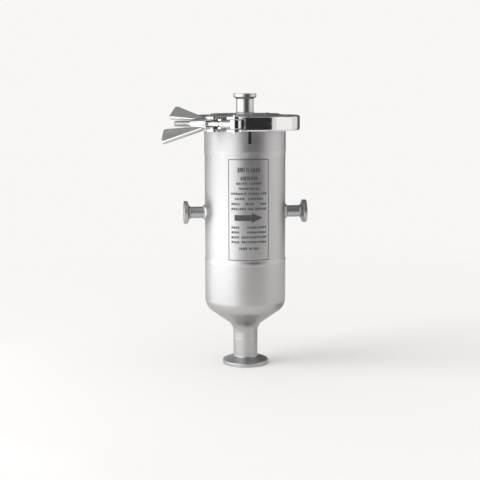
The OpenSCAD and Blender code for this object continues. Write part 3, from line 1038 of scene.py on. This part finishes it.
@dataclass
class Lid:
    """Cap with its vent, and the weld at the vent's foot."""

    levels: Levels
    bore_r: float = 42.15
    rim: float = 2.85
    edge: float = 0.5
    top_edge: float = 1.6
    bore_edge: float = 0.2
    bore_top_edge: float = 0.1
    groove_r: float = 1.55
    groove_lip: float = 0.12
    groove_bottom_r: float = 1.45
    vent_end: Ferrule = Ferrule(
        bore_r=7.875, tube_r=9.525, flange_r=12.5, rim=4.1, hollow_r=1.98,
        groove_r=0.9, face_edge=0.6, back_edge=1.3,
    )
    weld: Fillet = Fillet(1.4, under=0.3, overlap=0.1, bulge_out=0.6, bulge_r=0.6, edge=0.1)
    ripples: int = 40
    ripple_steps: int = 12
    ripple_h: float = 0.05
    ripple_bow: float = 3.0

    def build(self) -> None:
        """Builds and dresses the cap and the vent."""
        levels = self.levels
        thickness = levels.cap_top - levels.cap_face
        top_r = levels.flange_r - (thickness - self.rim) / math.tan(TAPER)
        ring_r = (self.bore_r + levels.flange_r) / 2
        loop = rounded_loop(
            [
                (self.vent_end.bore_r, 0, self.bore_edge),
                *groove_corners(ring_r, self.groove_r, self.groove_lip, self.groove_bottom_r),
                (levels.flange_r, 0, self.edge),
                (levels.flange_r, self.rim, self.edge),
                (top_r, thickness, self.top_edge),
                (self.vent_end.bore_r, thickness, self.bore_top_edge),
            ],
            FINE_ARC,
        )
        cap = lathe(loop, LARGE_TURN).moved(shift=(0, 0, levels.cap_face))
        piece("top_cap_turned", [cap], TURNED, Body.VESSEL, "top_cap")
        self.vent()

    def vent(self) -> None:
        """Vent ferrule, with the weld bead round its foot."""
        levels = self.levels
        loop = self.vent_end.loop(levels.vent_top - levels.cap_top)
        tube = lathe(loop, MID_TURN).moved(MIRROR_Z, (0, 0, levels.vent_top))
        piece("vent_ferrule_turned", [tube], TURNED, Body.VESSEL, "vent_ferrule")
        foot = self.weld.loop(self.vent_end.tube_r)
        steps = self.ripple_steps * self.ripples
        ripple = np.cos(self.ripples * around(steps)[:, None] + self.ripple_bow * foot[:, 1])
        swell = self.ripple_h * ripple * np.clip(foot[:, 1], 0, 1)
        bead = lathe(foot, steps, swell).moved(shift=(0, 0, levels.cap_top))
        piece("vent_weld", [bead], WELD, Body.VESSEL)


@dataclass(frozen=True)
class ClampFrame:
    """The clamp's own frame: its opening at -Y, turned to its place at the sealing joint."""

    levels: Levels
    turn_deg: float = 30.0
    bolt_r: float = 66.0
    eye_x: float = 17.8

    def place(self, solid: Solid) -> Solid:
        """Puts a solid of the clamp's frame in its place on the vessel."""
        return solid.moved(turn_about(2, -self.turn_deg), (0, 0, self.levels.joint))

    def on_bolt(self, solid: Solid, x: float) -> Solid:
        """Puts a solid that stands along +Z on the bolt's axis, pointing to -X from the given x."""
        return self.place(solid.moved(TO_MINUS_X, (x, -self.bolt_r, 0)))


@dataclass
class Clamp:
    """Two cast halves, hinged at the back, with a fork and a clevis at the opening."""

    at: ClampFrame
    arm_r: float = 46.6
    groove_r: float = 54.3
    outer_r: float = 59.6
    half_h: float = 8.05
    arm_groove_h: float = 6.3
    floor_groove_h: float = 3.5
    floor_edge: float = 0.6
    edge_r: float = 2.2
    tip_r: float = 0.7
    end_r: float = 0.55
    band_steps: int = 181
    fork_inset: float = 0.8
    fork_l: float = 11.4
    fork_corner_r: float = 4.5
    fork_end_r: float = 1.2
    fork_root: float = 0.3
    fork_slant: float = 0.8
    fork_pitch: float = 1.2
    root_r: float = 0.9
    clevis_inset: float = 10.6
    clevis_corner_r: float = 1.6
    clevis_near_root: float = 2.0
    clevis_far_root: float = 2.4
    ear_r: float = 7.0
    ear_edge: float = 0.7
    slot_floor_r: float = 56.4
    slot_floor_edge: float = 0.4
    slot_floor_points: int = 4
    slot_reach: float = 4.3
    slot_lead: float = 1.5
    slot_edge_r: float = 1.8
    slot_half_h: float = 5.0
    hinge_r: float = 64.5
    hinge_gap: float = 2.0
    hinge_web: float = 16.0
    web_root: float = 1.6
    web_drop: float = 2.3
    web_sink: float = 0.4
    web_bend_x: float = 3.0
    web_bend_r: float = 1.0
    heel_rise: float = 2.6
    heel_r: float = 2.4
    knuckle_r: float = 5.5
    knuckle_h: float = 6.0
    knuckle_gap: float = 0.4
    slot_gap: float = 0.3
    pin_r: float = 2.5
    pin_edge: float = 0.7
    pin_proud: float = 1.5
    pole_edge: float = 0.005
    room_edge: float = 0.01
    cut_edge: float = 0.1
    skin: float = 0.03

    def build(self) -> None:
        """Builds both halves and the two pins."""
        hinge = (0, self.hinge_r, 0)
        eye = (self.at.eye_x, -self.at.bolt_r, 0)
        far = 3 * self.half_h
        middle = self.knuckle_h / 2
        outer_low = middle + self.slot_gap
        bore = self.pin(self.pin_r + self.skin, far, self.room_edge)
        left = [self.band(self.fork_inset).moved(MIRROR_X), self.knuckle(-middle, middle).moved(MIRROR_X)]
        left += self.paired(self.fork_outline())
        room = self.knuckle_room(middle, far)
        cuts = [room.moved(shift=hinge), room.moved(MIRROR_Z, hinge), bore.moved(shift=hinge)]
        self.half("clamp_half_left", Body.CLAMP_LEFT, left, cuts)
        high = self.knuckle(outer_low, self.half_h - self.skin)
        right = [self.band(self.clevis_inset), *self.paired(self.clevis_outline())]
        right += [high, high.moved(MIRROR_Z)]
        slot_h = self.slot_half_h - self.skin
        slot = plate(self.slot_outline(), -slot_h, slot_h, self.skin)
        room = self.knuckle_room(-outer_low, outer_low)
        cuts = [slot, room.moved(shift=hinge), bore.moved(shift=hinge), bore.moved(shift=eye)]
        self.half("clamp_half_right", Body.VESSEL, right, cuts)
        pin = self.pin(self.pin_r, self.half_h + self.pin_proud, self.pin_edge)
        for node, place in (("clamp_hinge_pin", hinge), ("eye_bolt_pin", eye)):
            solids = [self.at.place(pin.moved(shift=place))]
            piece(f"{node}_drawn", solids, DRAWN, Body.VESSEL, node)

    def half(self, node: str, body: Body, joined: list[Solid], cut: list[Solid]) -> None:
        """Fuses one half, cuts its bores and dresses it.

        Args:
            node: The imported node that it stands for.
            body: The body that it rides on.
            joined: Solids that it is made of, in the clamp's frame.
            cut: Solids to take away.
        """
        solids = [self.at.place(solid) for solid in joined]
        away = [self.at.place(solid) for solid in cut]
        piece(f"{node}_polished", solids, MIRROR, body, node, cut=away)

    def pin(self, radius: float, half_h: float, edge: float) -> Solid:
        """Round pin along Z with rounded ends."""
        return turned_ring((0, radius, -half_h, half_h), self.pole_edge, edge, PIN_TURN)

    def knuckle_room(self, low: float, high: float) -> Solid:
        """Room about Z in which the other half's knuckle turns."""
        swing = self.knuckle_r + self.knuckle_gap
        return turned_ring((0, swing, low, high), self.room_edge, self.room_edge, PIN_TURN)

    def band(self, inset: float) -> Solid:
        """Half of the band on the +X side: its grooved section carried round Z between two flat ends.

        Every point keeps its own radius r. An end lies at a fixed x, which is the angle asin(x / r) from the
        Y axis, and over the last end_r the section draws in, so that the end is rounded.

        Args:
            inset: Distance of the end at the opening from the middle plane.

        Returns:
            The half band.
        """
        tip = self.tip_r
        section = rounded_loop(
            [
                (self.arm_r, -self.half_h, tip),
                (self.outer_r, -self.half_h, self.edge_r),
                (self.outer_r, self.half_h, self.edge_r),
                (self.arm_r, self.half_h, tip),
                (self.arm_r, self.arm_groove_h, tip),
                (self.groove_r, self.floor_groove_h, self.floor_edge),
                (self.groove_r, -self.floor_groove_h, self.floor_edge),
                (self.arm_r, -self.arm_groove_h, tip),
            ],
            FINE_ARC,
        )
        draw, depth = quarter_round(self.end_r)
        drawn = section - outward_of(section) * draw[:, None, None]
        opening = np.arcsin((inset + depth)[:, None] / drawn[..., 0]) - np.pi / 2
        hinge = np.pi / 2 - np.arcsin((self.hinge_gap / 2 + depth)[:, None] / drawn[..., 0])
        share = np.linspace(0, 1, self.band_steps)[1:-1, None]
        middle = opening[-1] + share * (hinge[-1] - opening[-1])
        turn = np.concatenate([opening, middle, hinge[::-1]])
        plan = np.concatenate([drawn, np.broadcast_to(section, (len(middle), *section.shape)), drawn[::-1]])
        return swept(np.stack([plan[..., 0] * np.cos(turn), plan[..., 0] * np.sin(turn), plan[..., 1]], -1))

    def paired(self, outline: Array) -> list[Solid]:
        """A plate over the slot and its mirror image below it."""
        ear = plate(outline, self.slot_half_h, self.half_h - self.skin, self.ear_edge)
        return [ear, ear.moved(MIRROR_Z)]

    def fork_outline(self) -> Array:
        """Plan of the fork: a rounded rectangle whose end is bent to a circle about the eye's pin.

        The end moves by R - sqrt(R^2 - y^2), with y from the bolt's axis, in proportion to the way along the
        fork.

        Returns:
            Outline points, one row each.
        """
        end, near = -self.fork_inset - self.fork_l, -self.fork_inset - self.skin
        front = -self.at.bolt_r - self.ear_r
        root = -self.groove_r - self.fork_root
        corners = [(end, front, self.fork_end_r), (near, front, self.fork_corner_r)]
        corners += [(near, root, self.root_r), (end, root - self.fork_slant, self.root_r)]
        outline = dense(rounded_loop(corners), self.fork_pitch)
        radius = self.at.eye_x - end
        bend = radius - np.sqrt(radius**2 - (outline[:, 1] + self.at.bolt_r) ** 2)
        outline[:, 0] += bend * (near - outline[:, 0]) / self.fork_l
        return outline

    def clevis_outline(self) -> Array:
        """Plan of a clevis ear: square towards the opening, round about the eye's pin.

        Returns:
            Outline points, one row each.
        """
        near, far = self.clevis_inset + self.skin, self.at.eye_x + self.ear_r - self.skin
        front = -self.at.bolt_r - self.ear_r + self.skin
        root_near = -math.sqrt((self.groove_r + self.clevis_near_root) ** 2 - near**2)
        root_far = -math.sqrt((self.groove_r + self.clevis_far_root) ** 2 - far**2)
        corners = [(near, front, self.clevis_corner_r), (far, front, self.ear_r - 2 * self.skin)]
        return rounded_loop([*corners, (far, root_far, self.root_r), (near, root_near, self.root_r)])

    def slot_outline(self) -> Array:
        """Plan of the clevis's slot: a floor below the band's face, and an end wall with a rounded edge.

        Returns:
            Outline points, one row each.
        """
        end = self.at.eye_x + self.slot_reach
        start = self.clevis_inset - self.slot_lead
        front = -self.at.bolt_r - 2 * self.ear_r
        floor = [
            (x, -math.sqrt(self.slot_floor_r**2 - x**2), self.slot_floor_edge)
            for x in np.linspace(end, start, self.slot_floor_points)
        ]
        face = -math.sqrt(self.outer_r**2 - end**2)
        slope = -end / face
        wide = end + self.ear_r
        edge = [(wide, face + slope * self.ear_r, self.cut_edge), (end, face, self.slot_edge_r)]
        return rounded_loop([(start, front, self.cut_edge), (wide, front, self.cut_edge), *edge, *floor])

    def knuckle(self, low: float, high: float) -> Solid:
        """Hinge knuckle with its web: a plate of which one end is round about the hinge pin.

        The web's outer side is the tangent from its far corner to the knuckle's circle, so two corners of
        about the knuckle's radius make the round end.

        Args:
            low: Height of the underside.
            high: Height of the top.

        Returns:
            The knuckle on the +X side.
        """
        side = self.knuckle_r - 2 * self.skin
        top = self.hinge_r + side
        root = self.groove_r + self.web_root
        out_y = math.sqrt(self.outer_r**2 - self.hinge_web**2) - self.web_sink
        drop = out_y - self.hinge_r
        normal = math.atan2(drop, self.hinge_web) + math.acos(side / math.hypot(drop, self.hinge_web))
        shoulder = side * math.tan((math.pi / 2 - normal) / 2)
        round_r = side - 4 * self.skin
        outline = rounded_loop(
            [
                (-side, root + self.heel_rise, self.heel_r),
                (self.web_bend_x, root, self.web_bend_r),
                (self.hinge_web, root - self.web_drop, self.root_r),
                (self.hinge_web, out_y, self.root_r),
                (shoulder, top, round_r),
                (-side, top, round_r),
            ]
        )
        return plate(outline, low, high, self.ear_edge)


@dataclass
class SwingBolt:
    """Eye bolt: a round eye, a thick shank and a rolled thread."""

    at: ClampFrame
    eye_r: float = 6.15
    eye_h: float = 9.4
    eye_edge: float = 0.9
    bore_r: float = 2.55
    bore_edge: float = 0.3
    root: float = 0.9
    shank_r: float = 3.9
    shank_l: float = 16.5
    plain_l: float = 29.0
    plain_steps: int = 40
    thread_r: float = 3.175
    thread_depth: float = 0.42
    thread_flank: float = 1.6
    thread_crest: float = 0.5
    pitch: float = 1.27
    pitch_steps: int = 12
    turn_steps: int = 40
    reach: float = 69.3
    end_chamfer: float = 0.8

    def build(self) -> None:
        """Fuses the eye and the rod, and dresses them."""
        at = self.at
        bounds = (self.bore_r, self.eye_r, -self.eye_h / 2, self.eye_h / 2)
        eye = turned_ring(bounds, self.bore_edge, self.eye_edge, SMALL_TURN)
        solids = [at.place(eye.moved(shift=(at.eye_x, -at.bolt_r, 0))), at.on_bolt(self.rod(), at.eye_x)]
        piece("eye_bolt_drawn", solids, DRAWN, Body.SWING_BOLT, "eye_bolt", cut=())

    def rod(self) -> Solid:
        """Shank, plain rod and thread along +Z: circles of the rod's outline less the thread's groove.

        The groove is a clipped triangle wave of height / pitch - angle / turn, so its crests run up a helix,
        and it fades in over one pitch after the plain rod.

        Returns:
            The rod, starting inside the eye's wall.
        """
        start = self.bore_r + self.root
        neck = self.shank_l + 2 * (self.shank_r - self.thread_r)
        plain = np.union1d(np.linspace(start, self.plain_l, self.plain_steps), [self.shank_l, neck])
        count = int((self.reach - self.plain_l) / self.pitch * self.pitch_steps)
        fine = np.linspace(self.plain_l, self.reach, count)
        height = np.concatenate([plain, fine[1:]])[:, None]
        angle = around(self.turn_steps)
        outline = np.interp(
            height,
            [start, self.shank_l, neck, self.reach - self.end_chamfer, self.reach],
            [self.shank_r, self.shank_r, self.thread_r, self.thread_r, self.thread_r - self.end_chamfer],
        )
        phase = (height / self.pitch - angle / (2 * np.pi)) % 1
        wave = 1 - np.abs(2 * phase - 1)
        groove = np.clip(self.thread_flank * wave - self.thread_crest, 0, 1)
        fade = np.clip((height - self.plain_l) / self.pitch, 0, 1)
        thread = np.where(fade > 0, self.thread_r - self.thread_depth * groove * fade, np.inf)
        radius = np.minimum(outline, thread)
        points = [radius * np.cos(angle), radius * np.sin(angle), np.broadcast_to(height, radius.shape)]
        return swept(np.stack(points, -1))


@dataclass
class WingNut:
    """Washer and wing nut: a tapered hub with two swept wings."""

    at: ClampFrame
    washer_face: float = 12.35
    washer_r: float = 7.0
    washer_t: float = 2.0
    washer_edge: float = 0.95
    washer_bore_edge: float = 0.2
    washer_play: float = 0.15
    nut_face: float = 14.4
    bore_r: float = 3.225
    bore_edge: float = 0.4
    hub_r: float = 6.6
    hub_edge: float = 0.8
    hub_end_r: float = 5.0
    hub_end_edge: float = 0.9
    hub_l: float = 17.5
    wing_l: float = 47.0
    wing_span: float = 51.0
    wing_t: float = 5.0
    wing_arc: int = 12
    corner_r: float = 2.2
    tip_r: float = 3.0
    inner_gap: float = 2.8
    root_sink: float = 0.8
    setback: float = 2.0
    tilt: float = 43.0
    fold: float = 6.0
    edge: float = 1.6

    def build(self) -> None:
        """Builds the washer and fuses the nut."""
        bounds = (self.bore_r + self.washer_play, self.washer_r, 0, self.washer_t)
        washer = turned_ring(bounds, self.washer_bore_edge, self.washer_edge, SMALL_TURN)
        solids = [self.at.on_bolt(washer, -self.washer_face)]
        piece("nut_washer_polished", solids, MIRROR, Body.COLLAR, "nut_washer")
        corners = [(self.bore_r, 0, self.bore_edge), (self.hub_r, 0, self.hub_edge)]
        end = self.hub_l
        corners += [(self.hub_end_r, end, self.hub_end_edge), (self.bore_r, end, self.bore_edge)]
        solids = [self.at.on_bolt(lathe(rounded_loop(corners), MID_TURN), -self.nut_face)]
        place = (-self.nut_face, -self.at.bolt_r, 0)
        for angle in (-self.fold - self.tilt, 180 + self.fold - self.tilt):
            solids.append(self.at.place(self.wing().moved(turn_about(0, angle)).moved(shift=place)))
        piece("wing_nut_cast", solids, TUMBLED, Body.NUT, "wing_nut", cut=())

    def wing(self) -> Solid:
        """One wing standing up in the X-Z plane: a three-cornered plate, swept out beyond the hub's end.

        Its corners are circles about three centres, and each side is the tangent between two of them, so each
        corner point lies where two sides, drawn one radius outside the centres, meet. The two outer corners
        are rounded a little more than that.

        Returns:
            The wing.
        """
        end = self.wing_l - self.corner_r
        centres = np.array(
            [
                (self.setback + self.corner_r, self.hub_r - self.root_sink),
                (end, self.hub_end_r + self.inner_gap + self.corner_r),
                (end - self.inner_gap / 2, self.wing_span / 2 - self.corner_r),
            ]
        )
        along = unit(np.roll(centres, -1, 0) - centres)
        before = np.roll(along, 1, 0)
        bisector = unit(np.stack([along[:, 1] + before[:, 1], -along[:, 0] - before[:, 0]], 1))
        corner = centres + bisector * (self.corner_r / np.cos(turning(before, along) / 2))[:, None]
        rounding = (self.corner_r, self.tip_r, self.tip_r)
        outline = rounded_loop(np.column_stack([corner, rounding]), self.wing_arc)
        return plate(outline, -self.wing_t / 2, self.wing_t / 2, self.edge).moved(STANDING)


@dataclass
class FlowLabel:
    """Etched panel on the shell: a thin frame, the flow arrow and plain rows of marks."""

    levels: Levels
    proud: float = 0.03
    depth: float = 0.06
    middle: float = -0.9
    low: float = 122.3
    high: float = 229.4
    half_w: float = 22.0
    line: float = 0.8
    bar_step: float = 1.5
    arrow_z: float = 167.8
    arrow_tail: float = -15.6
    arrow_neck: float = 2.9
    arrow_tip: float = 14.6
    shaft_half: float = 3.1
    shaft_points: int = 16
    head_half: float = 5.35
    head_points: int = 12
    tip_half: float = 0.05
    upper_z: float = 204.2
    upper_pitch: float = 5.4
    upper_half: float = 1.3
    lower_z: float = 157.5
    lower_pitch: float = 5.2
    lower_half: float = 1.25
    mark_share: float = 1.15
    mark_gap: float = 0.5
    uneven: float = 0.35
    uneven_rate: float = 7.3
    lift: float = 0.12
    lift_rate: float = 5.1

    def build(self) -> None:
        """Builds the frame, the arrow and the rows."""
        half = self.line / 2
        bars = [self.bar(-self.half_w, self.half_w, z, half) for z in (self.low, self.high)]
        middle, tall = (self.low + self.high) / 2, (self.high - self.low) / 2
        bars += [self.bar(s - half, s + half, middle, tall) for s in (-self.half_w, self.half_w)]
        piece("flow_panel_frame", bars, INK, Body.VESSEL)
        shaft = np.linspace(self.arrow_tail, self.arrow_neck, self.shaft_points)
        head = np.linspace(self.arrow_neck, self.arrow_tip, self.head_points)
        taper = np.linspace(self.head_half, self.tip_half, self.head_points)
        along = self.middle + np.concatenate([shaft, head])
        reach = np.concatenate([np.full(self.shaft_points, self.shaft_half), taper])
        arrow = arc_bar(self.levels.shell_r + self.proud, self.depth, along, self.arrow_z, reach)
        piece("flow_arrow", [arrow], INK, Body.VESSEL)
        marks = [mark for row in self.rows() for mark in self.row(*row)]
        piece("flow_panel_rows", marks, FAINT_INK, Body.VESSEL)

    def bar(self, start: float, end: float, middle: float, half: float) -> Solid:
        """Bar of even height.

        Args:
            start: Distance of its start from the panel's middle, along the arc.
            end: Distance of its end.
            middle: Height of its middle.
            half: Half its height.

        Returns:
            The bar.
        """
        along = self.middle + np.linspace(start, end, max(2, int((end - start) / self.bar_step)))
        return arc_bar(self.levels.shell_r + self.proud, self.depth, along, middle, half)

    def rows(self) -> list[tuple]:
        """Every row of plain marks.

        Returns:
            Height, half height and word spans of each row.
        """
        upper = [
            [(-13.5, -2.2), (0.5, 13.5)],
            [(-11, 11)],
            [(-19.5, -2.5), (-0.5, 11), (12.5, 19.5)],
            [(-15, -5), (-1, 15)],
            [(-19, -10), (-3.5, 5), (12, 19)],
            [(-19, -3.5), (-1.5, 4.5), (6.5, 19)],
        ]
        lower = [[(-19, -10.5), (-2, 19)]] * 2 + [[(-19, -10.5), (-8, 19)]] * 2
        table = [(218.4, 2.6, [(-12, 12)]), (209.7, 2.2, [(-9, 9)])]
        for top, pitch, half, group in (
            (self.upper_z, self.upper_pitch, self.upper_half, upper),
            (self.lower_z, self.lower_pitch, self.lower_half, lower),
        ):
            table += [(top - pitch * i, half, spans) for i, spans in enumerate(group)]
        return [*table, (135.0, 1.35, [(-10.5, -2), (0, 3.5), (5, 10.5)])]

    def row(self, middle: float, half: float, spans: Sequence[tuple[float, float]]) -> list[Solid]:
        """Plain blocks of uneven width inside each span, about as wide as half their height.

        Args:
            middle: Height of the row's middle.
            half: Half its height.
            spans: Start and end of each word along the arc.

        Returns:
            One thin bar for each block.
        """
        marks = []
        for low, high in spans:
            count = max(1, round((high - low) / (self.mark_share * half + self.mark_gap)))
            order = np.arange(count)
            share = 1 + self.uneven * np.sin(self.uneven_rate * order + middle + low)
            way = np.concatenate([[0], np.cumsum(share) / share.sum()])
            edge = low + way * (high - low + self.mark_gap)
            rise = self.lift * half * np.sin(self.lift_rate * order + 2 * middle)
            marks += [
                self.bar(start, end - self.mark_gap, middle + lift, half - abs(lift))
                for start, end, lift in zip(edge[:-1], edge[1:], rise)
            ]
        return marks


@dataclass(frozen=True)
class Softbox:
    """An area lamp aimed at the middle of the object, placed by its bearing from the camera's side.

    A lamp may be kept to the steel, which it lights as a reflection, or to the floor and the print.
    """

    name: str
    bearing_deg: float
    distance: float
    height: float
    width: float
    tall: float
    radiance: float
    on_steel: bool = True
    on_floor: bool = True


@dataclass(frozen=True)
class Card:
    """A card bent round the object, seen only in its reflections: bearings and elevations are in degrees."""

    name: str
    bearing: tuple[float, float]
    elevation: tuple[float, float]
    radius: float
    radiance: float


@dataclass
class Studio:
    """Pale floor, white surroundings, lamps, reflected cards and the camera, in metres but for the eye."""

    view_turn_deg: float = 6.4
    eye: tuple[float, float, float] = (-5.09, -1130.2, 298.9)
    pitch_deg: float = 8.097
    roll_deg: float = 0.18
    aim_turn_deg: float = 6.395
    lens: float = 77.58
    sensor: float = 36.0
    clip: tuple[float, float] = (0.05, 50.0)
    surround: str = "#f8f6f5"
    surround_light: float = 0.83
    floor_shade: str = "#f8f7f6"
    floor_roughness: float = 0.85
    floor_reach: float = 6.0
    floor_points: int = 41
    fade_from: float = 0.1
    fade_to: float = 1.1
    aim_z: float = 0.16
    card_points: tuple[int, int] = (37, 13)
    lamps: tuple[Softbox, ...] = (
        Softbox("key_left", -64, 1.5, 0.75, 2.0, 1.5, 1.0, on_floor=False),
        Softbox("floor_left", -75, 8.0, 4.45, 6.7, 6.7, 3.4, on_steel=False),
        Softbox("fill_right", 90, 1.4, 0.45, 1.2, 1.1, 0.25),
    )
    cards: tuple[Card, ...] = (
        Card("card_front", (-9, 55), (-9, 42), 0.62, 0.035),
        Card("card_left", (-104, -24), (-3, 42), 1.0, 2.4),
        Card("card_left_low", (-110, -24), (-25.5, -3), 0.36, 2.35),
        Card("card_right_low", (84, 185), (-52, -42), 0.2, 0.28),
        Card("card_back_right", (138, 190), (-10, 40), 0.85, 0.12),
        Card("card_back_right_low", (120, 138), (-11, -2.5), 0.85, 0.15),
        Card("card_back_left", (196, 228), (-10, 40), 0.86, 0.45),
        Card("card_back_above", (100, 260), (26, 50), 0.95, 0.2),
        Card("card_zenith_left", (182, 298), (46, 90), 1.02, 0.42),
        Card("card_zenith_front", (-62, -4), (50, 86), 1.0, 0.9),
        Card("card_zenith_right", (-62, 182), (46, 90), 1.02, 0.2),
        Card("card_back_dark", (184, 234), (30, 54), 0.94, 0.04),
    )

    def build(self) -> None:
        """Builds the studio."""
        self.camera()
        self.world()
        self.floor()
        for lamp in self.lamps:
            self.softbox(lamp)
        for card in self.cards:
            self.card(card)

    def bearing(self, degrees: float | Array) -> tuple[Any, Any]:
        """Unit X and Y of a bearing, counted to the right of the camera as seen from the object."""
        angle = np.radians(np.asarray(degrees, float) - 90 - self.view_turn_deg)
        return np.cos(angle), np.sin(angle)

    def camera(self) -> None:
        """Camera at the photograph's place, with its view turned about Z."""
        data = bpy.data.cameras.new("view")
        data.lens = self.lens
        data.sensor_width = self.sensor
        data.clip_start, data.clip_end = self.clip
        made = bpy.data.objects.new("view", data)
        made.location = turn_about(2, -self.view_turn_deg) @ np.array(self.eye) * MM
        made.rotation_euler = tuple(
            math.radians(angle) for angle in (90 - self.pitch_deg, self.roll_deg, -self.aim_turn_deg)
        )
        bpy.context.scene.collection.objects.link(made)
        bpy.context.scene.camera = made

    def world(self) -> None:
        """White surroundings for the camera and for reflections, and a plain soft light for the rest."""
        world = bpy.data.worlds.new("studio")
        bpy.context.scene.world = world
        world.use_nodes = True
        tree = world.node_tree
        tree.nodes.clear()
        path = add_node(tree, "ShaderNodeLightPath", {})
        seen = path.outputs["Is Camera Ray"]
        for ray in ("Is Glossy Ray", "Is Transmission Ray"):
            either = {0: seen, 1: path.outputs[ray]}
            seen = add_node(tree, "ShaderNodeMath", either, operation="MAXIMUM").outputs[0]
        colour = linear(self.surround)
        soft = add_node(tree, "ShaderNodeBackground", {"Color": colour, "Strength": self.surround_light})
        white = add_node(tree, "ShaderNodeBackground", {"Color": colour, "Strength": 1.0})
        both = add_node(tree, "ShaderNodeMixShader", {0: seen, 1: soft.outputs[0], 2: white.outputs[0]})
        add_node(tree, "ShaderNodeOutputWorld", {"Surface": both.outputs[0]})

    def staged(self, name: str, grid: Array, board: bpy.types.Material) -> bpy.types.Object:
        """Adds a sheet that is no part of the object.

        Args:
            name: Its name.
            grid: Its points, rows by columns by 3, in metres.
            board: Its material.

        Returns:
            The sheet.
        """
        index = np.arange(grid.shape[0] * grid.shape[1]).reshape(grid.shape[:2])
        sides = [index[:-1, :-1], index[:-1, 1:], index[1:, 1:], index[1:, :-1]]
        mesh = bpy.data.meshes.new(name)
        mesh.from_pydata(grid.reshape(-1, 3).tolist(), [], np.stack(sides, -1).reshape(-1, 4).tolist())
        mesh.materials.append(board)
        made = bpy.data.objects.new(name, mesh)
        bpy.context.scene.collection.objects.link(made)
        return made

    def floor(self) -> None:
        """Pale floor: a square grid that fades into the surroundings with distance from the object."""
        paper = blank_material("paper_sweep_matt")
        tree = paper.node_tree
        coords = add_node(tree, "ShaderNodeTexCoord", {}).outputs["Object"]
        distance = add_node(tree, "ShaderNodeVectorMath", {0: coords}, operation="LENGTH").outputs["Value"]
        span = {"Value": distance, "From Min": self.fade_from, "From Max": self.fade_to}
        fade = add_node(tree, "ShaderNodeMapRange", span, interpolation_type="SMOOTHSTEP").outputs[0]
        look = {"Base Color": linear(self.floor_shade), "Roughness": self.floor_roughness}
        matt = add_node(tree, "ShaderNodeBsdfPrincipled", look)
        clear = add_node(tree, "ShaderNodeBsdfTransparent", {})
        both = add_node(tree, "ShaderNodeMixShader", {0: fade, 1: matt.outputs[0], 2: clear.outputs[0]})
        add_node(tree, "ShaderNodeOutputMaterial", {"Surface": both.outputs[0]})
        along = np.linspace(-self.floor_reach, self.floor_reach, self.floor_points)
        x, y = np.meshgrid(along, along)
        self.staged("floor", np.stack([x, y, np.zeros_like(x)], -1), paper)

    def softbox(self, lamp: Softbox) -> None:
        """Area lamp whose power gives the stated radiance: pi * width * height * radiance.

        Args:
            lamp: Its place, size and radiance.
        """
        data = bpy.data.lights.new(lamp.name, "AREA")
        data.shape = "RECTANGLE"
        data.size, data.size_y = lamp.width, lamp.tall
        data.energy = math.pi * lamp.width * lamp.tall * lamp.radiance
        made = bpy.data.objects.new(lamp.name, data)
        x, y = self.bearing(lamp.bearing_deg)
        made.location = (lamp.distance * x, lamp.distance * y, lamp.height)
        aim = np.array([0, 0, self.aim_z]) - np.array(made.location)
        flat = math.hypot(aim[0], aim[1])
        made.rotation_euler = (math.atan2(flat, -aim[2]), 0, math.atan2(-aim[0], aim[1]))
        made.visible_camera = False
        made.visible_glossy = lamp.on_steel
        made.visible_diffuse = lamp.on_floor
        bpy.context.scene.collection.objects.link(made)

    def card(self, card: Card) -> None:
        """Card on a sphere about the object's middle: a grid of bearing and elevation.

        Args:
            card: Its spans, radius and radiance.
        """
        board = blank_material(card.name)
        tree = board.node_tree
        glow = add_node(tree, "ShaderNodeEmission", {"Color": (1, 1, 1, 1), "Strength": card.radiance})
        add_node(tree, "ShaderNodeOutputMaterial", {"Surface": glow.outputs[0]})
        columns, rows = self.card_points
        elevation = np.radians(np.linspace(*card.elevation, rows))
        bearing, rise = np.meshgrid(np.linspace(*card.bearing, columns), elevation)
        x, y = self.bearing(bearing)
        grid = card.radius * np.stack([np.cos(rise) * x, np.cos(rise) * y, np.sin(rise)], -1)
        grid[..., 2] += self.aim_z
        made = self.staged(card.name, grid, board)
        made.visible_camera = made.visible_diffuse = made.visible_shadow = made.visible_transmission = False


def main() -> None:
    """Builds the separator and the studio in order."""
    logging.basicConfig(level=logging.INFO, format="%(name)s: %(message)s")
    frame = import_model()
    bpy.context.scene.view_settings.view_transform = "Standard"
    levels = Levels.from_frame()
    at = ClampFrame(levels)
    Studio().build()
    Vessel(levels).build()
    Lid(levels).build()
    Clamp(at).build()
    SwingBolt(at).build()
    WingNut(at).build()
    FlowLabel(levels).build()
    for node, finish in {"shell_tube": SATIN, "baffle_plate": SATIN, "cap_gasket": GASKET}.items():
        dress(frame["nodes"][node], finish)


if __name__ == "__main__":
    main()
